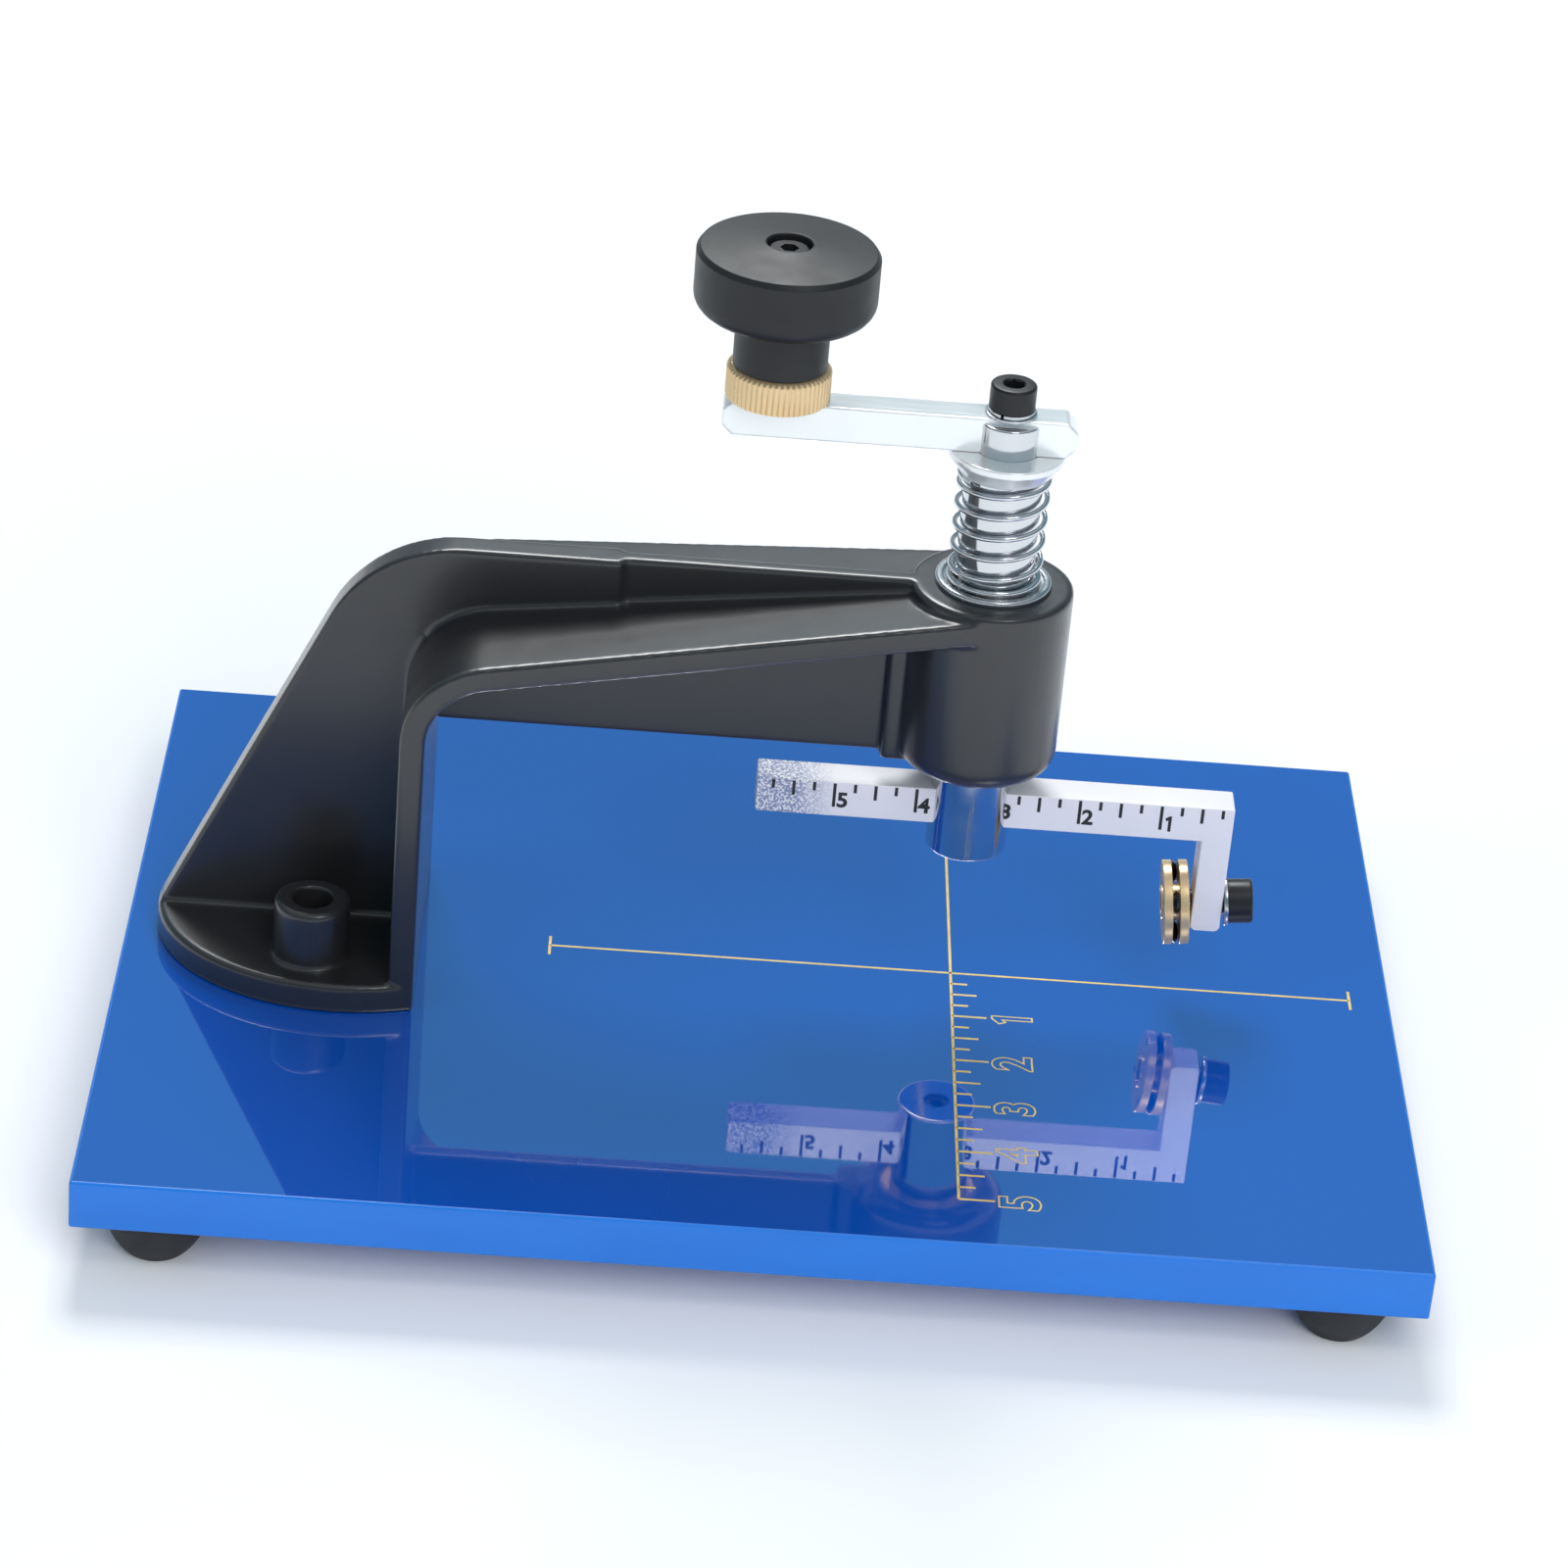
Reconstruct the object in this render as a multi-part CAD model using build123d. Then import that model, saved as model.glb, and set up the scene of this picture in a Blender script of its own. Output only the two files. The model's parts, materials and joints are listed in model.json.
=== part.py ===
"""Hand-cranked bench circle cutter for glass, in the form of a small arbor press.

The frame stands on the ground under the board's centre: +X runs from the pillar to the cutter,
+Y to the back, +Z up. Millimetres throughout, and heights are taken from the ground.
"""
import math
import os

from build123d import *

# ---------------------------------------------------------------- board and feet
BOARD_LENGTH = 200.0
BOARD_WIDTH = 150.0
BOARD_THICK = 8.0
BOARD_EDGE = 0.5
FOOT_R = 8.0
FOOT_H = 8.0
FOOT_FLAT_R = 4.6
FOOT_INSET_X = 12.0
FOOT_INSET_Y = 9.0
FOOT_SCREW_HEAD_R = 2.8
FOOT_SCREW_RECESS = 4.0
FOOT_SCREW_R = 1.4
FOOT_SCREW_BITE = 5.5
DECK = FOOT_H + BOARD_THICK

# ---------------------------------------------------------------- main axes
SPINDLE_X = 30.0
CRANK_RADIUS = 35.0
KNOB_X = SPINDLE_X - CRANK_RADIUS

# ---------------------------------------------------------------- casting
FRAME_TOP = DECK + 70.0
WEB_BOTTOM = DECK + 40.4
WEB_HALF = 1.4
WEB_THICK_HALF = 2.5
WEB_STEP_X = -25.5
WEB_TOE_X = -94.8
WEB_TOE_Z = DECK + 5.0
WEB_BACK_CORNER_X = -64.0
WEB_CORNER_R = 22.0
RIB_LEFT_X = -57.7
RIB_THICK = 3.9
RIB_SLOPE = 0.1175
RIB_TOP_AT_LEFT = DECK + 58.9
RIB_CORNER_R = 13.5
RIB_HALF_WIDTH = 22.7
RIB_TAPER_X = -52.0
PLATE_CENTRE_X = -66.0
PLATE_A = 29.3
PLATE_B = 24.5
PLATE_THICK = 4.8
HEAD_R = 12.45
HEAD_BOTTOM = DECK + 39.5
HEAD_BOTTOM_R = 3.2
HEAD_TOP_R = 0.7
PAD_LEFT_X = 15.2
PAD_HALF = 3.3

# ---------------------------------------------------------------- casting bolts (M3)
BOLT_X = -70.2
BOLT_Y = 14.5
BOLT_BOSS_R = 5.9
BOLT_BOSS_TOP = DECK + 14.6
BOLT_SEAT = DECK + 5.5
BOLT_R = 1.5
BOLT_HOLE_R = 1.7
BOLT_HEAD_R = 2.75
BOLT_HEAD_H = 3.0
BOLT_SOCKET_FLATS = 2.5
BOLT_SOCKET_DEPTH = 1.6
BOLT_COUNTERBORE_R = 3.1
BOLT_BOSS_EDGE = 0.9
BOLT_END = 8.8
NUT_BORE_R = 1.55
NUT_WASHER_R = 3.5
NUT_WASHER_T = 0.5
NUT_FLATS = 5.5
NUT_T = 2.4
NUT_POCKET_R = 5.0
NUT_POCKET_DEPTH = 4.2

# ---------------------------------------------------------------- socket screws (M4)
SCREW_R = 2.0
SCREW_HOLE_R = 2.05
SCREW_HEAD_R = 3.5
SCREW_HEAD_H = 3.9
SCREW_SOCKET_FLATS = 3.0
SCREW_SOCKET_DEPTH = 2.2

# ---------------------------------------------------------------- spindle, bushes, spring
SPINDLE_LOW_R = 6.25
SPINDLE_UP_R = 6.0
SPINDLE_BOSS_R = 5.0
SPINDLE_BOTTOM = DECK + 24.1
SPINDLE_SHOULDER = DECK + 58.0
SPINDLE_NECK = DECK + 88.9
SPINDLE_TOP = DECK + 97.6
RUN_FIT = 0.03
BUSH_R = 7.5
LOWER_BUSH_H = 10.0
LOWER_BUSH_RECESS = 0.5
SEAT_R = 8.9
SEAT_H = 1.0
SEAT_GROOVE_R = 7.7
SEAT_GROOVE_DEPTH = 0.4
SPRING_MEAN_R = 6.8
SPRING_WIRE_R = 0.45
SPRING_PITCH = 3.85
RETAINER_R = 8.8
RETAINER_LOW_R = 7.0
RETAINER_RIM = 1.1
AXIAL_PLAY = 0.05

# ---------------------------------------------------------------- crank and knob
BAR_LEFT = KNOB_X - 8.0
BAR_RIGHT = SPINDLE_X + 10.2
BAR_HALF = 2.7
BAR_BOTTOM = DECK + 92.7
BAR_TOP = DECK + 98.4
BAR_CORNER = 1.5
FLAT_WASHER_R = 3.9
FLAT_WASHER_T = 0.4
LOCK_WASHER_R = 3.6
LOCK_WASHER_T = 0.6
FERRULE_R = 7.9
FERRULE_BOTTOM = BAR_TOP + 0.1
FERRULE_TOP = DECK + 103.7
KNOB_NECK_R = 7.1
KNOB_UNDER = DECK + 112.3
KNOB_R = 13.7
KNOB_RIM_TOP = DECK + 122.4
KNOB_CROWN = DECK + 123.4
KNOB_RECESS_R = 3.35
KNOB_RECESS_FLOOR = DECK + 120.6
AXLE_R = 2.5
AXLE_BORE_R = 2.56
AXLE_THREAD_R = 1.45
AXLE_HEAD_R = 3.2
AXLE_HEAD_TOP = DECK + 122.5
AXLE_END = DECK + 93.4

# ---------------------------------------------------------------- scale arm
ARM_LEFT = -3.2
ARM_RIGHT = 71.05
ARM_HALF = 3.0
ARM_BOTTOM = DECK + 28.8
ARM_TOP = DECK + 34.9
ARM_SLOT_PLAY = 0.05
LEG_LEFT = 66.35
LEG_BOTTOM = DECK + 12.7
LEG_CHAMFER = 0.8

# ---------------------------------------------------------------- cutter turret, along its own axis
TURRET_TILT = 5.5
TURRET_X = 63.85
TURRET_Z = DECK + 16.0
DISC_R = 6.65
DISC_T = 1.45
DISC_GAP = 1.1
HUB_R = 2.65
HUB_MID_R = 2.9
HUB_PROUD = 0.25
PIN_COUNT = 3
PIN_CIRCLE_R = 5.5
PIN_R = 0.6
PIN_PLAY = 0.01
WHEEL_R = 1.85
WHEEL_LAND_R = 1.35
WHEEL_HALF = 0.45
WHEEL_BORE_R = 0.65
TURRET_WASHER_R = 3.9
TURRET_WASHER_T = 0.6
TURRET_WASHER_S = 7.61


def rod(radius, z_low, z_high, x=0.0, y=0.0):
    """An upright cylinder between two heights."""
    return Pos(x, y, (z_low + z_high) / 2) * Cylinder(radius, z_high - z_low)


def block(x_low, x_high, half_y, z_low, z_high):
    """A box centred on the plane y = 0."""
    centre = Pos((x_low + x_high) / 2, 0, (z_low + z_high) / 2)
    return centre * Box(x_high - x_low, 2 * half_y, z_high - z_low)


def turned(points, x=0.0, y=0.0):
    """A solid of revolution about an upright axis, from (radius, z) points."""
    profile = make_face(Polyline(*[(r, 0, z) for r, z in points], close=True))
    return Pos(x, y, 0) * revolve(profile, Axis.Z, 360)


def hex_prism(flats, z_low, z_high):
    """An upright hexagonal prism, given its width across flats."""
    outline = RegularPolygon(flats / 2, 6, major_radius=False)
    return Pos(0, 0, z_low) * extrude(outline, z_high - z_low)


def socket_screw(shank_length, shank_r=SCREW_R, head_r=SCREW_HEAD_R, head_h=SCREW_HEAD_H,
                 flats=SCREW_SOCKET_FLATS, depth=SCREW_SOCKET_DEPTH):
    """A socket head screw whose head stands on z = 0 and whose shank runs down."""
    head = rod(head_r, 0, head_h)
    head = chamfer(head.edges().group_by(Axis.Z)[-1], 0.45)
    head -= hex_prism(flats, head_h - depth, head_h + 1)
    return head + rod(shank_r, -shank_length, 0.01)


def side_outline(points, radii):
    """A face in the plane y = 0 with rounded corners; a radius of 0 leaves a corner sharp."""
    face = make_face(Polyline(*[(x, 0, z) for x, z in points], close=True)).face()
    for (x, z), radius in zip(points, radii):
        if radius > 0:
            corner = min(face.vertices(), key=lambda v: (v.X - x) ** 2 + (v.Z - z) ** 2)
            face = face.fillet_2d(radius, [corner])
    return face


def slab(face, half_y):
    """The face thickened evenly to both sides of the plane y = 0."""
    return extrude(face, half_y, dir=(0, 1, 0), both=True)


# ---------------------------------------------------------------- board and feet
def base_board():
    """The acrylic board, drilled for the casting's bolts and the feet's screws."""
    board = Pos(0, 0, FOOT_H + BOARD_THICK / 2) * Box(BOARD_LENGTH, BOARD_WIDTH, BOARD_THICK)
    board = chamfer(board.edges(), BOARD_EDGE)
    for side in (-1, 1):
        board -= rod(BOLT_HOLE_R, FOOT_H - 1, DECK + 1, BOLT_X, side * BOLT_Y)
        board -= rod(NUT_POCKET_R, FOOT_H - 1, FOOT_H + NUT_POCKET_DEPTH, BOLT_X, side * BOLT_Y)
    for _, x, y in foot_places():
        board -= rod(FOOT_SCREW_R, FOOT_H - 1, FOOT_H + FOOT_SCREW_BITE + 0.3, x, y)
    return board


def foot_places():
    """Name and place of each rubber foot."""
    x, y = BOARD_LENGTH / 2 - FOOT_INSET_X, BOARD_WIDTH / 2 - FOOT_INSET_Y
    return [("front_left", -x, -y), ("front_right", x, -y), ("rear_left", -x, y), ("rear_right", x, y)]


def rubber_foot(x, y):
    """A domed foot with a flat ring underneath and a recess for its screw."""
    side = TangentArc((FOOT_R, 0, FOOT_H), (FOOT_FLAT_R, 0, 0), tangent=(0, 0, -1))
    rest = Polyline((FOOT_FLAT_R, 0, 0), (0, 0, 0), (0, 0, FOOT_H), (FOOT_R, 0, FOOT_H))
    dome = revolve(make_face([side, rest]), Axis.Z, 360)
    dome -= rod(FOOT_SCREW_HEAD_R + 0.4, -1, FOOT_SCREW_RECESS)
    dome -= rod(FOOT_SCREW_R + 0.1, 0, FOOT_H + 1)
    return Pos(x, y, 0) * dome


def foot_screw(x, y):
    """A round-headed screw that holds one foot, with a cross-shaped recess."""
    head_h = 1.9
    top = FOOT_SCREW_RECESS
    screw = rod(FOOT_SCREW_HEAD_R, top - head_h, top)
    screw = fillet(screw.edges().group_by(Axis.Z)[0], 0.9)
    for turn in (0, 90):
        screw -= Pos(0, 0, top - head_h) * Rot(0, 0, turn) * Box(2.6, 0.6, 1.8)
    screw += rod(FOOT_SCREW_R - 0.05, top - 0.1, FOOT_H + FOOT_SCREW_BITE)
    return Pos(x, y, 0) * screw


# ---------------------------------------------------------------- casting
def web_outline(right_x, low_left, low_right):
    """Side outline of the casting's web from its toe to right_x, closed by two low points."""
    points = [(WEB_TOE_X, DECK + 1), (WEB_TOE_X, WEB_TOE_Z), (WEB_BACK_CORNER_X, FRAME_TOP),
              (right_x, FRAME_TOP), low_right, low_left, (low_left[0], DECK + 1)]
    radii = [0, 2.0, WEB_CORNER_R, 0, 0, 0, 0]
    return side_outline(points, radii)


def rib_top(x):
    """Height of the sloping rib's upper face."""
    return RIB_TOP_AT_LEFT + RIB_SLOPE * (x - RIB_LEFT_X)


def rib():
    """The bent rib: an upright back plate that turns over and climbs to the head."""
    right_x, inner_x = SPINDLE_X, RIB_LEFT_X + RIB_THICK
    points = [(RIB_LEFT_X, DECK), (RIB_LEFT_X, rib_top(RIB_LEFT_X)), (right_x, rib_top(right_x)),
              (right_x, rib_top(right_x) - RIB_THICK), (inner_x, rib_top(inner_x) - RIB_THICK),
              (inner_x, DECK)]
    radii = [0, RIB_CORNER_R, 0, 0, RIB_CORNER_R - RIB_THICK, 0]
    bent = slab(side_outline(points, radii), RIB_HALF_WIDTH + 1)
    return fillet_long_edges(bent & rib_plan())


def rib_plan():
    """Prism over the rib's plan, which narrows from the pillar to touch the head's round."""
    run, rise = SPINDLE_X - RIB_TAPER_X, RIB_HALF_WIDTH
    taper = math.atan2(rise, run) - math.asin(HEAD_R / math.hypot(run, rise))
    touch_x = SPINDLE_X - HEAD_R * math.sin(taper)
    touch_y = HEAD_R * math.cos(taper)
    left = RIB_LEFT_X - 1
    half = [(left, RIB_HALF_WIDTH), (RIB_TAPER_X, RIB_HALF_WIDTH), (touch_x, touch_y),
            (SPINDLE_X, touch_y)]
    outline = half + [(x, -y) for x, y in reversed(half)]
    plan = make_face(Polyline(*outline, close=True))
    return extrude(plan, FRAME_TOP + 5)


def fillet_long_edges(bent):
    """Soften the rib's front and back edges."""
    outer = [e for e in bent.edges() if abs(e.center().Y) > HEAD_R - 1.5 and e.length > 8
             and e.center().Z > DECK + 1]
    return fillet(outer, 0.5)


def foot_plate():
    """The casting's D-shaped foot."""
    oval = Pos(PLATE_CENTRE_X, 0, DECK) * extrude(Ellipse(PLATE_A, PLATE_B), PLATE_THICK)
    keep = block(-120, RIB_LEFT_X + RIB_THICK, 40, DECK - 1, DECK + 20)
    plate = oval & keep
    return fillet(plate.edges().group_by(Axis.Z)[-1].filter_by(Axis.Y, reverse=True), 0.9)


def head():
    """The casting's upright head, rounded below, before it is bored."""
    body = rod(HEAD_R, HEAD_BOTTOM, FRAME_TOP, SPINDLE_X)
    body = fillet(body.edges().group_by(Axis.Z)[0], HEAD_BOTTOM_R)
    return fillet(body.edges().group_by(Axis.Z)[-1], HEAD_TOP_R)


def frame_casting():
    """Pillar, arm and head in one casting: a web, a bent rib, a foot and a bored head."""
    inner_x = RIB_LEFT_X + RIB_THICK / 2
    thin = web_outline(SPINDLE_X, (inner_x, WEB_BOTTOM), (SPINDLE_X, WEB_BOTTOM))
    rib_mid = rib_top(WEB_STEP_X) - RIB_THICK / 2
    thick = web_outline(WEB_STEP_X, (inner_x, rib_top(inner_x) - RIB_THICK), (WEB_STEP_X, rib_mid))
    thick_web = slab(thick, WEB_THICK_HALF)
    step = [e for e in thick_web.edges().filter_by(Axis.Z) if abs(e.center().X - WEB_STEP_X) < 0.1]
    thick_web = chamfer(step, 1.0)
    pad = block(PAD_LEFT_X, SPINDLE_X - 5, PAD_HALF, HEAD_BOTTOM + 0.2, rib_top(PAD_LEFT_X) - 1)
    pad = fillet(pad.edges().filter_by(Axis.Z).group_by(Axis.X)[0], 1.2)
    casting = foot_plate() + rib() + slab(thin, WEB_HALF) + thick_web + head() + pad
    for side in (-1, 1):
        boss = rod(BOLT_BOSS_R, DECK + 1, BOLT_BOSS_TOP, BOLT_X, side * BOLT_Y)
        casting += fillet(boss.edges().group_by(Axis.Z)[-1], BOLT_BOSS_EDGE)
        casting -= rod(BOLT_HOLE_R, DECK - 1, BOLT_BOSS_TOP + 1, BOLT_X, side * BOLT_Y)
        casting -= rod(BOLT_COUNTERBORE_R, BOLT_SEAT, BOLT_BOSS_TOP + 1, BOLT_X, side * BOLT_Y)
    return casting - rod(BUSH_R, HEAD_BOTTOM - 1, FRAME_TOP + 1, SPINDLE_X)


def frame_bolt(side):
    """One of the two screws that hold the casting on the board."""
    bolt = socket_screw(BOLT_SEAT - BOLT_END, BOLT_R, BOLT_HEAD_R, BOLT_HEAD_H, BOLT_SOCKET_FLATS,
                        BOLT_SOCKET_DEPTH)
    return Pos(BOLT_X, side * BOLT_Y, BOLT_SEAT) * bolt


def frame_nut(side):
    """The nut under the board."""
    high = FOOT_H + NUT_POCKET_DEPTH - NUT_WASHER_T
    nut = hex_prism(NUT_FLATS, high - NUT_T, high) - rod(NUT_BORE_R, high - NUT_T - 1, high + 1)
    return Pos(BOLT_X, side * BOLT_Y, 0) * nut


def frame_nut_washer(side):
    """The washer between nut and board."""
    high = FOOT_H + NUT_POCKET_DEPTH
    washer = rod(NUT_WASHER_R, high - NUT_WASHER_T, high)
    washer -= rod(BOLT_HOLE_R, high - NUT_WASHER_T - 1, high + 1)
    return Pos(BOLT_X, side * BOLT_Y, 0) * washer


# ---------------------------------------------------------------- bushes, seat, spring, retainer
def sleeve(outer, inner, z_low, z_high):
    """A plain ring on the spindle's axis."""
    return rod(outer, z_low, z_high, SPINDLE_X) - rod(inner, z_low - 1, z_high + 1, SPINDLE_X)


def spring_seat_washer():
    """Turned washer on the head, with a groove that centres the spring."""
    low, high = FRAME_TOP, FRAME_TOP + SEAT_H
    washer = sleeve(SEAT_R, SPINDLE_UP_R + 0.15, low, high)
    washer = chamfer(washer.edges().filter_by(GeomType.CIRCLE).sort_by(SortBy.RADIUS)[-2:], 0.2)
    return washer - rod(SEAT_GROOVE_R, high - SEAT_GROOVE_DEPTH, high + 1, SPINDLE_X)


def return_spring():
    """Open coil that lifts the spindle."""
    low = FRAME_TOP + SEAT_H - SEAT_GROOVE_DEPTH + SPRING_WIRE_R
    high = SPINDLE_NECK + AXIAL_PLAY - SPRING_WIRE_R
    path = Helix(SPRING_PITCH, high - low, SPRING_MEAN_R)
    wire = Plane(origin=path @ 0, z_dir=path % 0) * Circle(SPRING_WIRE_R)
    coil = sweep(wire, path=path)
    return Pos(SPINDLE_X, 0, low) * coil


def spring_retainer():
    """Dished collar that the spring lifts against the crank."""
    low, high, bore = SPINDLE_NECK + AXIAL_PLAY, BAR_BOTTOM - AXIAL_PLAY, SPINDLE_BOSS_R + 0.05
    points = [(bore, low), (RETAINER_LOW_R, low), (RETAINER_R, high - RETAINER_RIM),
              (RETAINER_R, high), (bore, high)]
    return turned(points, SPINDLE_X)


# ---------------------------------------------------------------- spindle and crank
def spindle():
    """Stepped spindle: slotted below for the scale arm and above for the crank bar."""
    low = rod(SPINDLE_LOW_R, SPINDLE_BOTTOM, SPINDLE_SHOULDER, SPINDLE_X)
    low = chamfer(low.edges().group_by(Axis.Z)[0], 0.4)
    up = rod(SPINDLE_UP_R, SPINDLE_SHOULDER, SPINDLE_NECK, SPINDLE_X)
    boss = rod(SPINDLE_BOSS_R, SPINDLE_NECK, SPINDLE_TOP, SPINDLE_X)
    boss = chamfer(boss.edges().group_by(Axis.Z)[-1], 0.3)
    shaft = low + up + boss
    play = ARM_SLOT_PLAY
    shaft -= block(SPINDLE_X - 10, SPINDLE_X + 10, ARM_HALF + play, ARM_BOTTOM - play, ARM_TOP + play)
    shaft -= block(SPINDLE_X - 10, SPINDLE_X + 10, BAR_HALF, BAR_BOTTOM, SPINDLE_TOP + 1)
    shaft -= rod(SCREW_HOLE_R, BAR_BOTTOM - 12, SPINDLE_TOP + 1, SPINDLE_X)
    return shaft - rod(SCREW_HOLE_R, SPINDLE_BOTTOM - 1, ARM_BOTTOM, SPINDLE_X)


def arm_clamp_screw():
    """Headless screw in the spindle's lower end that clamps the scale arm."""
    low, high = SPINDLE_BOTTOM + 0.5, ARM_BOTTOM - ARM_SLOT_PLAY
    screw = rod(SCREW_R, low, high) - hex_prism(2.0, low - 1, low + 2.0)
    return Pos(SPINDLE_X, 0, 0) * screw


def crank_bar():
    """Square crank bar with its corners cut back at both ends."""
    bar = block(BAR_LEFT, BAR_RIGHT, BAR_HALF, BAR_BOTTOM, BAR_TOP)
    ends = [e for e in bar.edges().filter_by(Axis.Y)]
    bar = chamfer(ends, BAR_CORNER)
    bar -= rod(SCREW_HOLE_R, BAR_BOTTOM - 1, BAR_TOP + 1, SPINDLE_X)
    return bar - rod(AXLE_THREAD_R + 0.05, BAR_BOTTOM - 1, BAR_TOP + 1, KNOB_X)


def crank_flat_washer():
    """Flat washer on the crank bar."""
    return sleeve(FLAT_WASHER_R, SCREW_HOLE_R + 0.1, BAR_TOP, BAR_TOP + FLAT_WASHER_T)


def crank_lock_washer():
    """Split lock washer under the crank screw's head."""
    low = BAR_TOP + FLAT_WASHER_T
    washer = sleeve(LOCK_WASHER_R, SCREW_HOLE_R + 0.1, low, low + LOCK_WASHER_T)
    split = Pos(SPINDLE_X, 3, low) * Rot(0, 0, 25) * Box(0.5, 4, 4)
    return washer - split


def crank_screw():
    """Socket screw that holds the crank bar in the spindle's slot."""
    seat = BAR_TOP + FLAT_WASHER_T + LOCK_WASHER_T
    return Pos(SPINDLE_X, 0, seat) * socket_screw(seat - BAR_BOTTOM + 10)


def knob():
    """Mushroom knob with a low crown, a neck and a recess for its screw."""
    points = [(AXLE_BORE_R, FERRULE_TOP), (KNOB_NECK_R, FERRULE_TOP), (KNOB_NECK_R, KNOB_UNDER),
              (KNOB_R, KNOB_UNDER), (KNOB_R, KNOB_RIM_TOP), (KNOB_RECESS_R, KNOB_CROWN),
              (KNOB_RECESS_R, KNOB_RECESS_FLOOR), (AXLE_BORE_R, KNOB_RECESS_FLOOR)]
    radii = [0, 0, 0.8, 2.8, 1.0, 0.4, 0, 0]
    section = side_outline(points, radii)
    return Pos(KNOB_X, 0, 0) * revolve(section, Axis.Z, 360)


def knob_ferrule():
    """Brass ring under the knob, bevelled at its upper edge."""
    ring = rod(FERRULE_R, FERRULE_BOTTOM, FERRULE_TOP)
    ring = chamfer(ring.edges().group_by(Axis.Z)[-1], 0.6)
    ring -= rod(AXLE_BORE_R, FERRULE_BOTTOM - 1, FERRULE_TOP + 1)
    return Pos(KNOB_X, 0, 0) * ring


def knob_axle_screw():
    """Shoulder screw that the knob turns on."""
    seat = KNOB_RECESS_FLOOR + AXIAL_PLAY
    screw = rod(AXLE_HEAD_R, seat, AXLE_HEAD_TOP)
    screw = fillet(screw.edges().group_by(Axis.Z)[-1], 0.6)
    screw -= hex_prism(2.5, AXLE_HEAD_TOP - 1.3, AXLE_HEAD_TOP + 1)
    screw += rod(AXLE_R, BAR_TOP, seat + 0.01)
    screw += rod(AXLE_THREAD_R, AXLE_END, BAR_TOP + 0.01)
    return Pos(KNOB_X, 0, 0) * screw


# ---------------------------------------------------------------- scale arm and turret
def on_turret_axis(shape):
    """Carry a shape built along +Z to the turret's centre and tilted axis."""
    return Location((TURRET_X, 0, TURRET_Z)) * Rot(0, 90 - TURRET_TILT, 0) * shape


def scale_arm():
    """Bent square arm: a scale bar that slides in the spindle and a leg for the turret."""
    bar = block(ARM_LEFT, ARM_RIGHT, ARM_HALF, ARM_BOTTOM, ARM_TOP)
    leg = block(LEG_LEFT, ARM_RIGHT, ARM_HALF, LEG_BOTTOM, ARM_TOP)
    low_edges = leg.edges().filter_by(Axis.Y).group_by(Axis.Z)[0]
    leg = chamfer(low_edges, LEG_CHAMFER)
    arm = bar + leg
    return arm - on_turret_axis(rod(SCREW_HOLE_R, -5, 20))


def turret_disc(side):
    """One of the turret's two discs; side is -1 for the outer one, +1 for the one at the leg."""
    near, far = DISC_GAP / 2, DISC_GAP / 2 + DISC_T
    disc = rod(DISC_R, near, far) - rod(HUB_R + PIN_PLAY, near - 1, far + 1)
    for x, y in pin_places():
        disc -= rod(PIN_R + PIN_PLAY, near - 1, far + 1, x, y)
    disc = disc if side > 0 else mirror(disc, Plane.XY)
    return on_turret_axis(disc)


def pin_places():
    """Places of the wheel pins round the hub, the first one straight below it."""
    turns = [2 * math.pi * i / PIN_COUNT for i in range(PIN_COUNT)]
    return [(PIN_CIRCLE_R * math.cos(t), PIN_CIRCLE_R * math.sin(t)) for t in turns]


def turret_hub():
    """Sleeve that the discs are staked to and the turret screw passes through."""
    end = DISC_GAP / 2 + DISC_T + HUB_PROUD
    hub = rod(HUB_R, -end, end) + rod(HUB_MID_R, -DISC_GAP / 2, DISC_GAP / 2)
    return on_turret_axis(hub - rod(SCREW_HOLE_R, -end - 1, end + 1))


def wheel_pin(place):
    """Axle pin of one cutting wheel, flush with both discs."""
    end = DISC_GAP / 2 + DISC_T
    return on_turret_axis(rod(PIN_R, -end, end, *place))


def cutting_wheel(place):
    """Hard wheel with a sharp rim, free on its pin."""
    points = [(WHEEL_BORE_R, -WHEEL_HALF), (WHEEL_LAND_R, -WHEEL_HALF), (WHEEL_R, 0),
              (WHEEL_LAND_R, WHEEL_HALF), (WHEEL_BORE_R, WHEEL_HALF)]
    return on_turret_axis(turned(points, *place))


def turret_washer():
    """Steel washer between the leg and the turret screw's head."""
    washer = rod(TURRET_WASHER_R, TURRET_WASHER_S, TURRET_WASHER_S + TURRET_WASHER_T)
    return on_turret_axis(washer - rod(SCREW_HOLE_R + 0.1, 0, 20))


def turret_screw():
    """Socket screw through the leg into the turret."""
    seat = TURRET_WASHER_S + TURRET_WASHER_T
    reach = seat + DISC_GAP / 2 + DISC_T
    return on_turret_axis(Pos(0, 0, seat) * socket_screw(reach))


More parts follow.
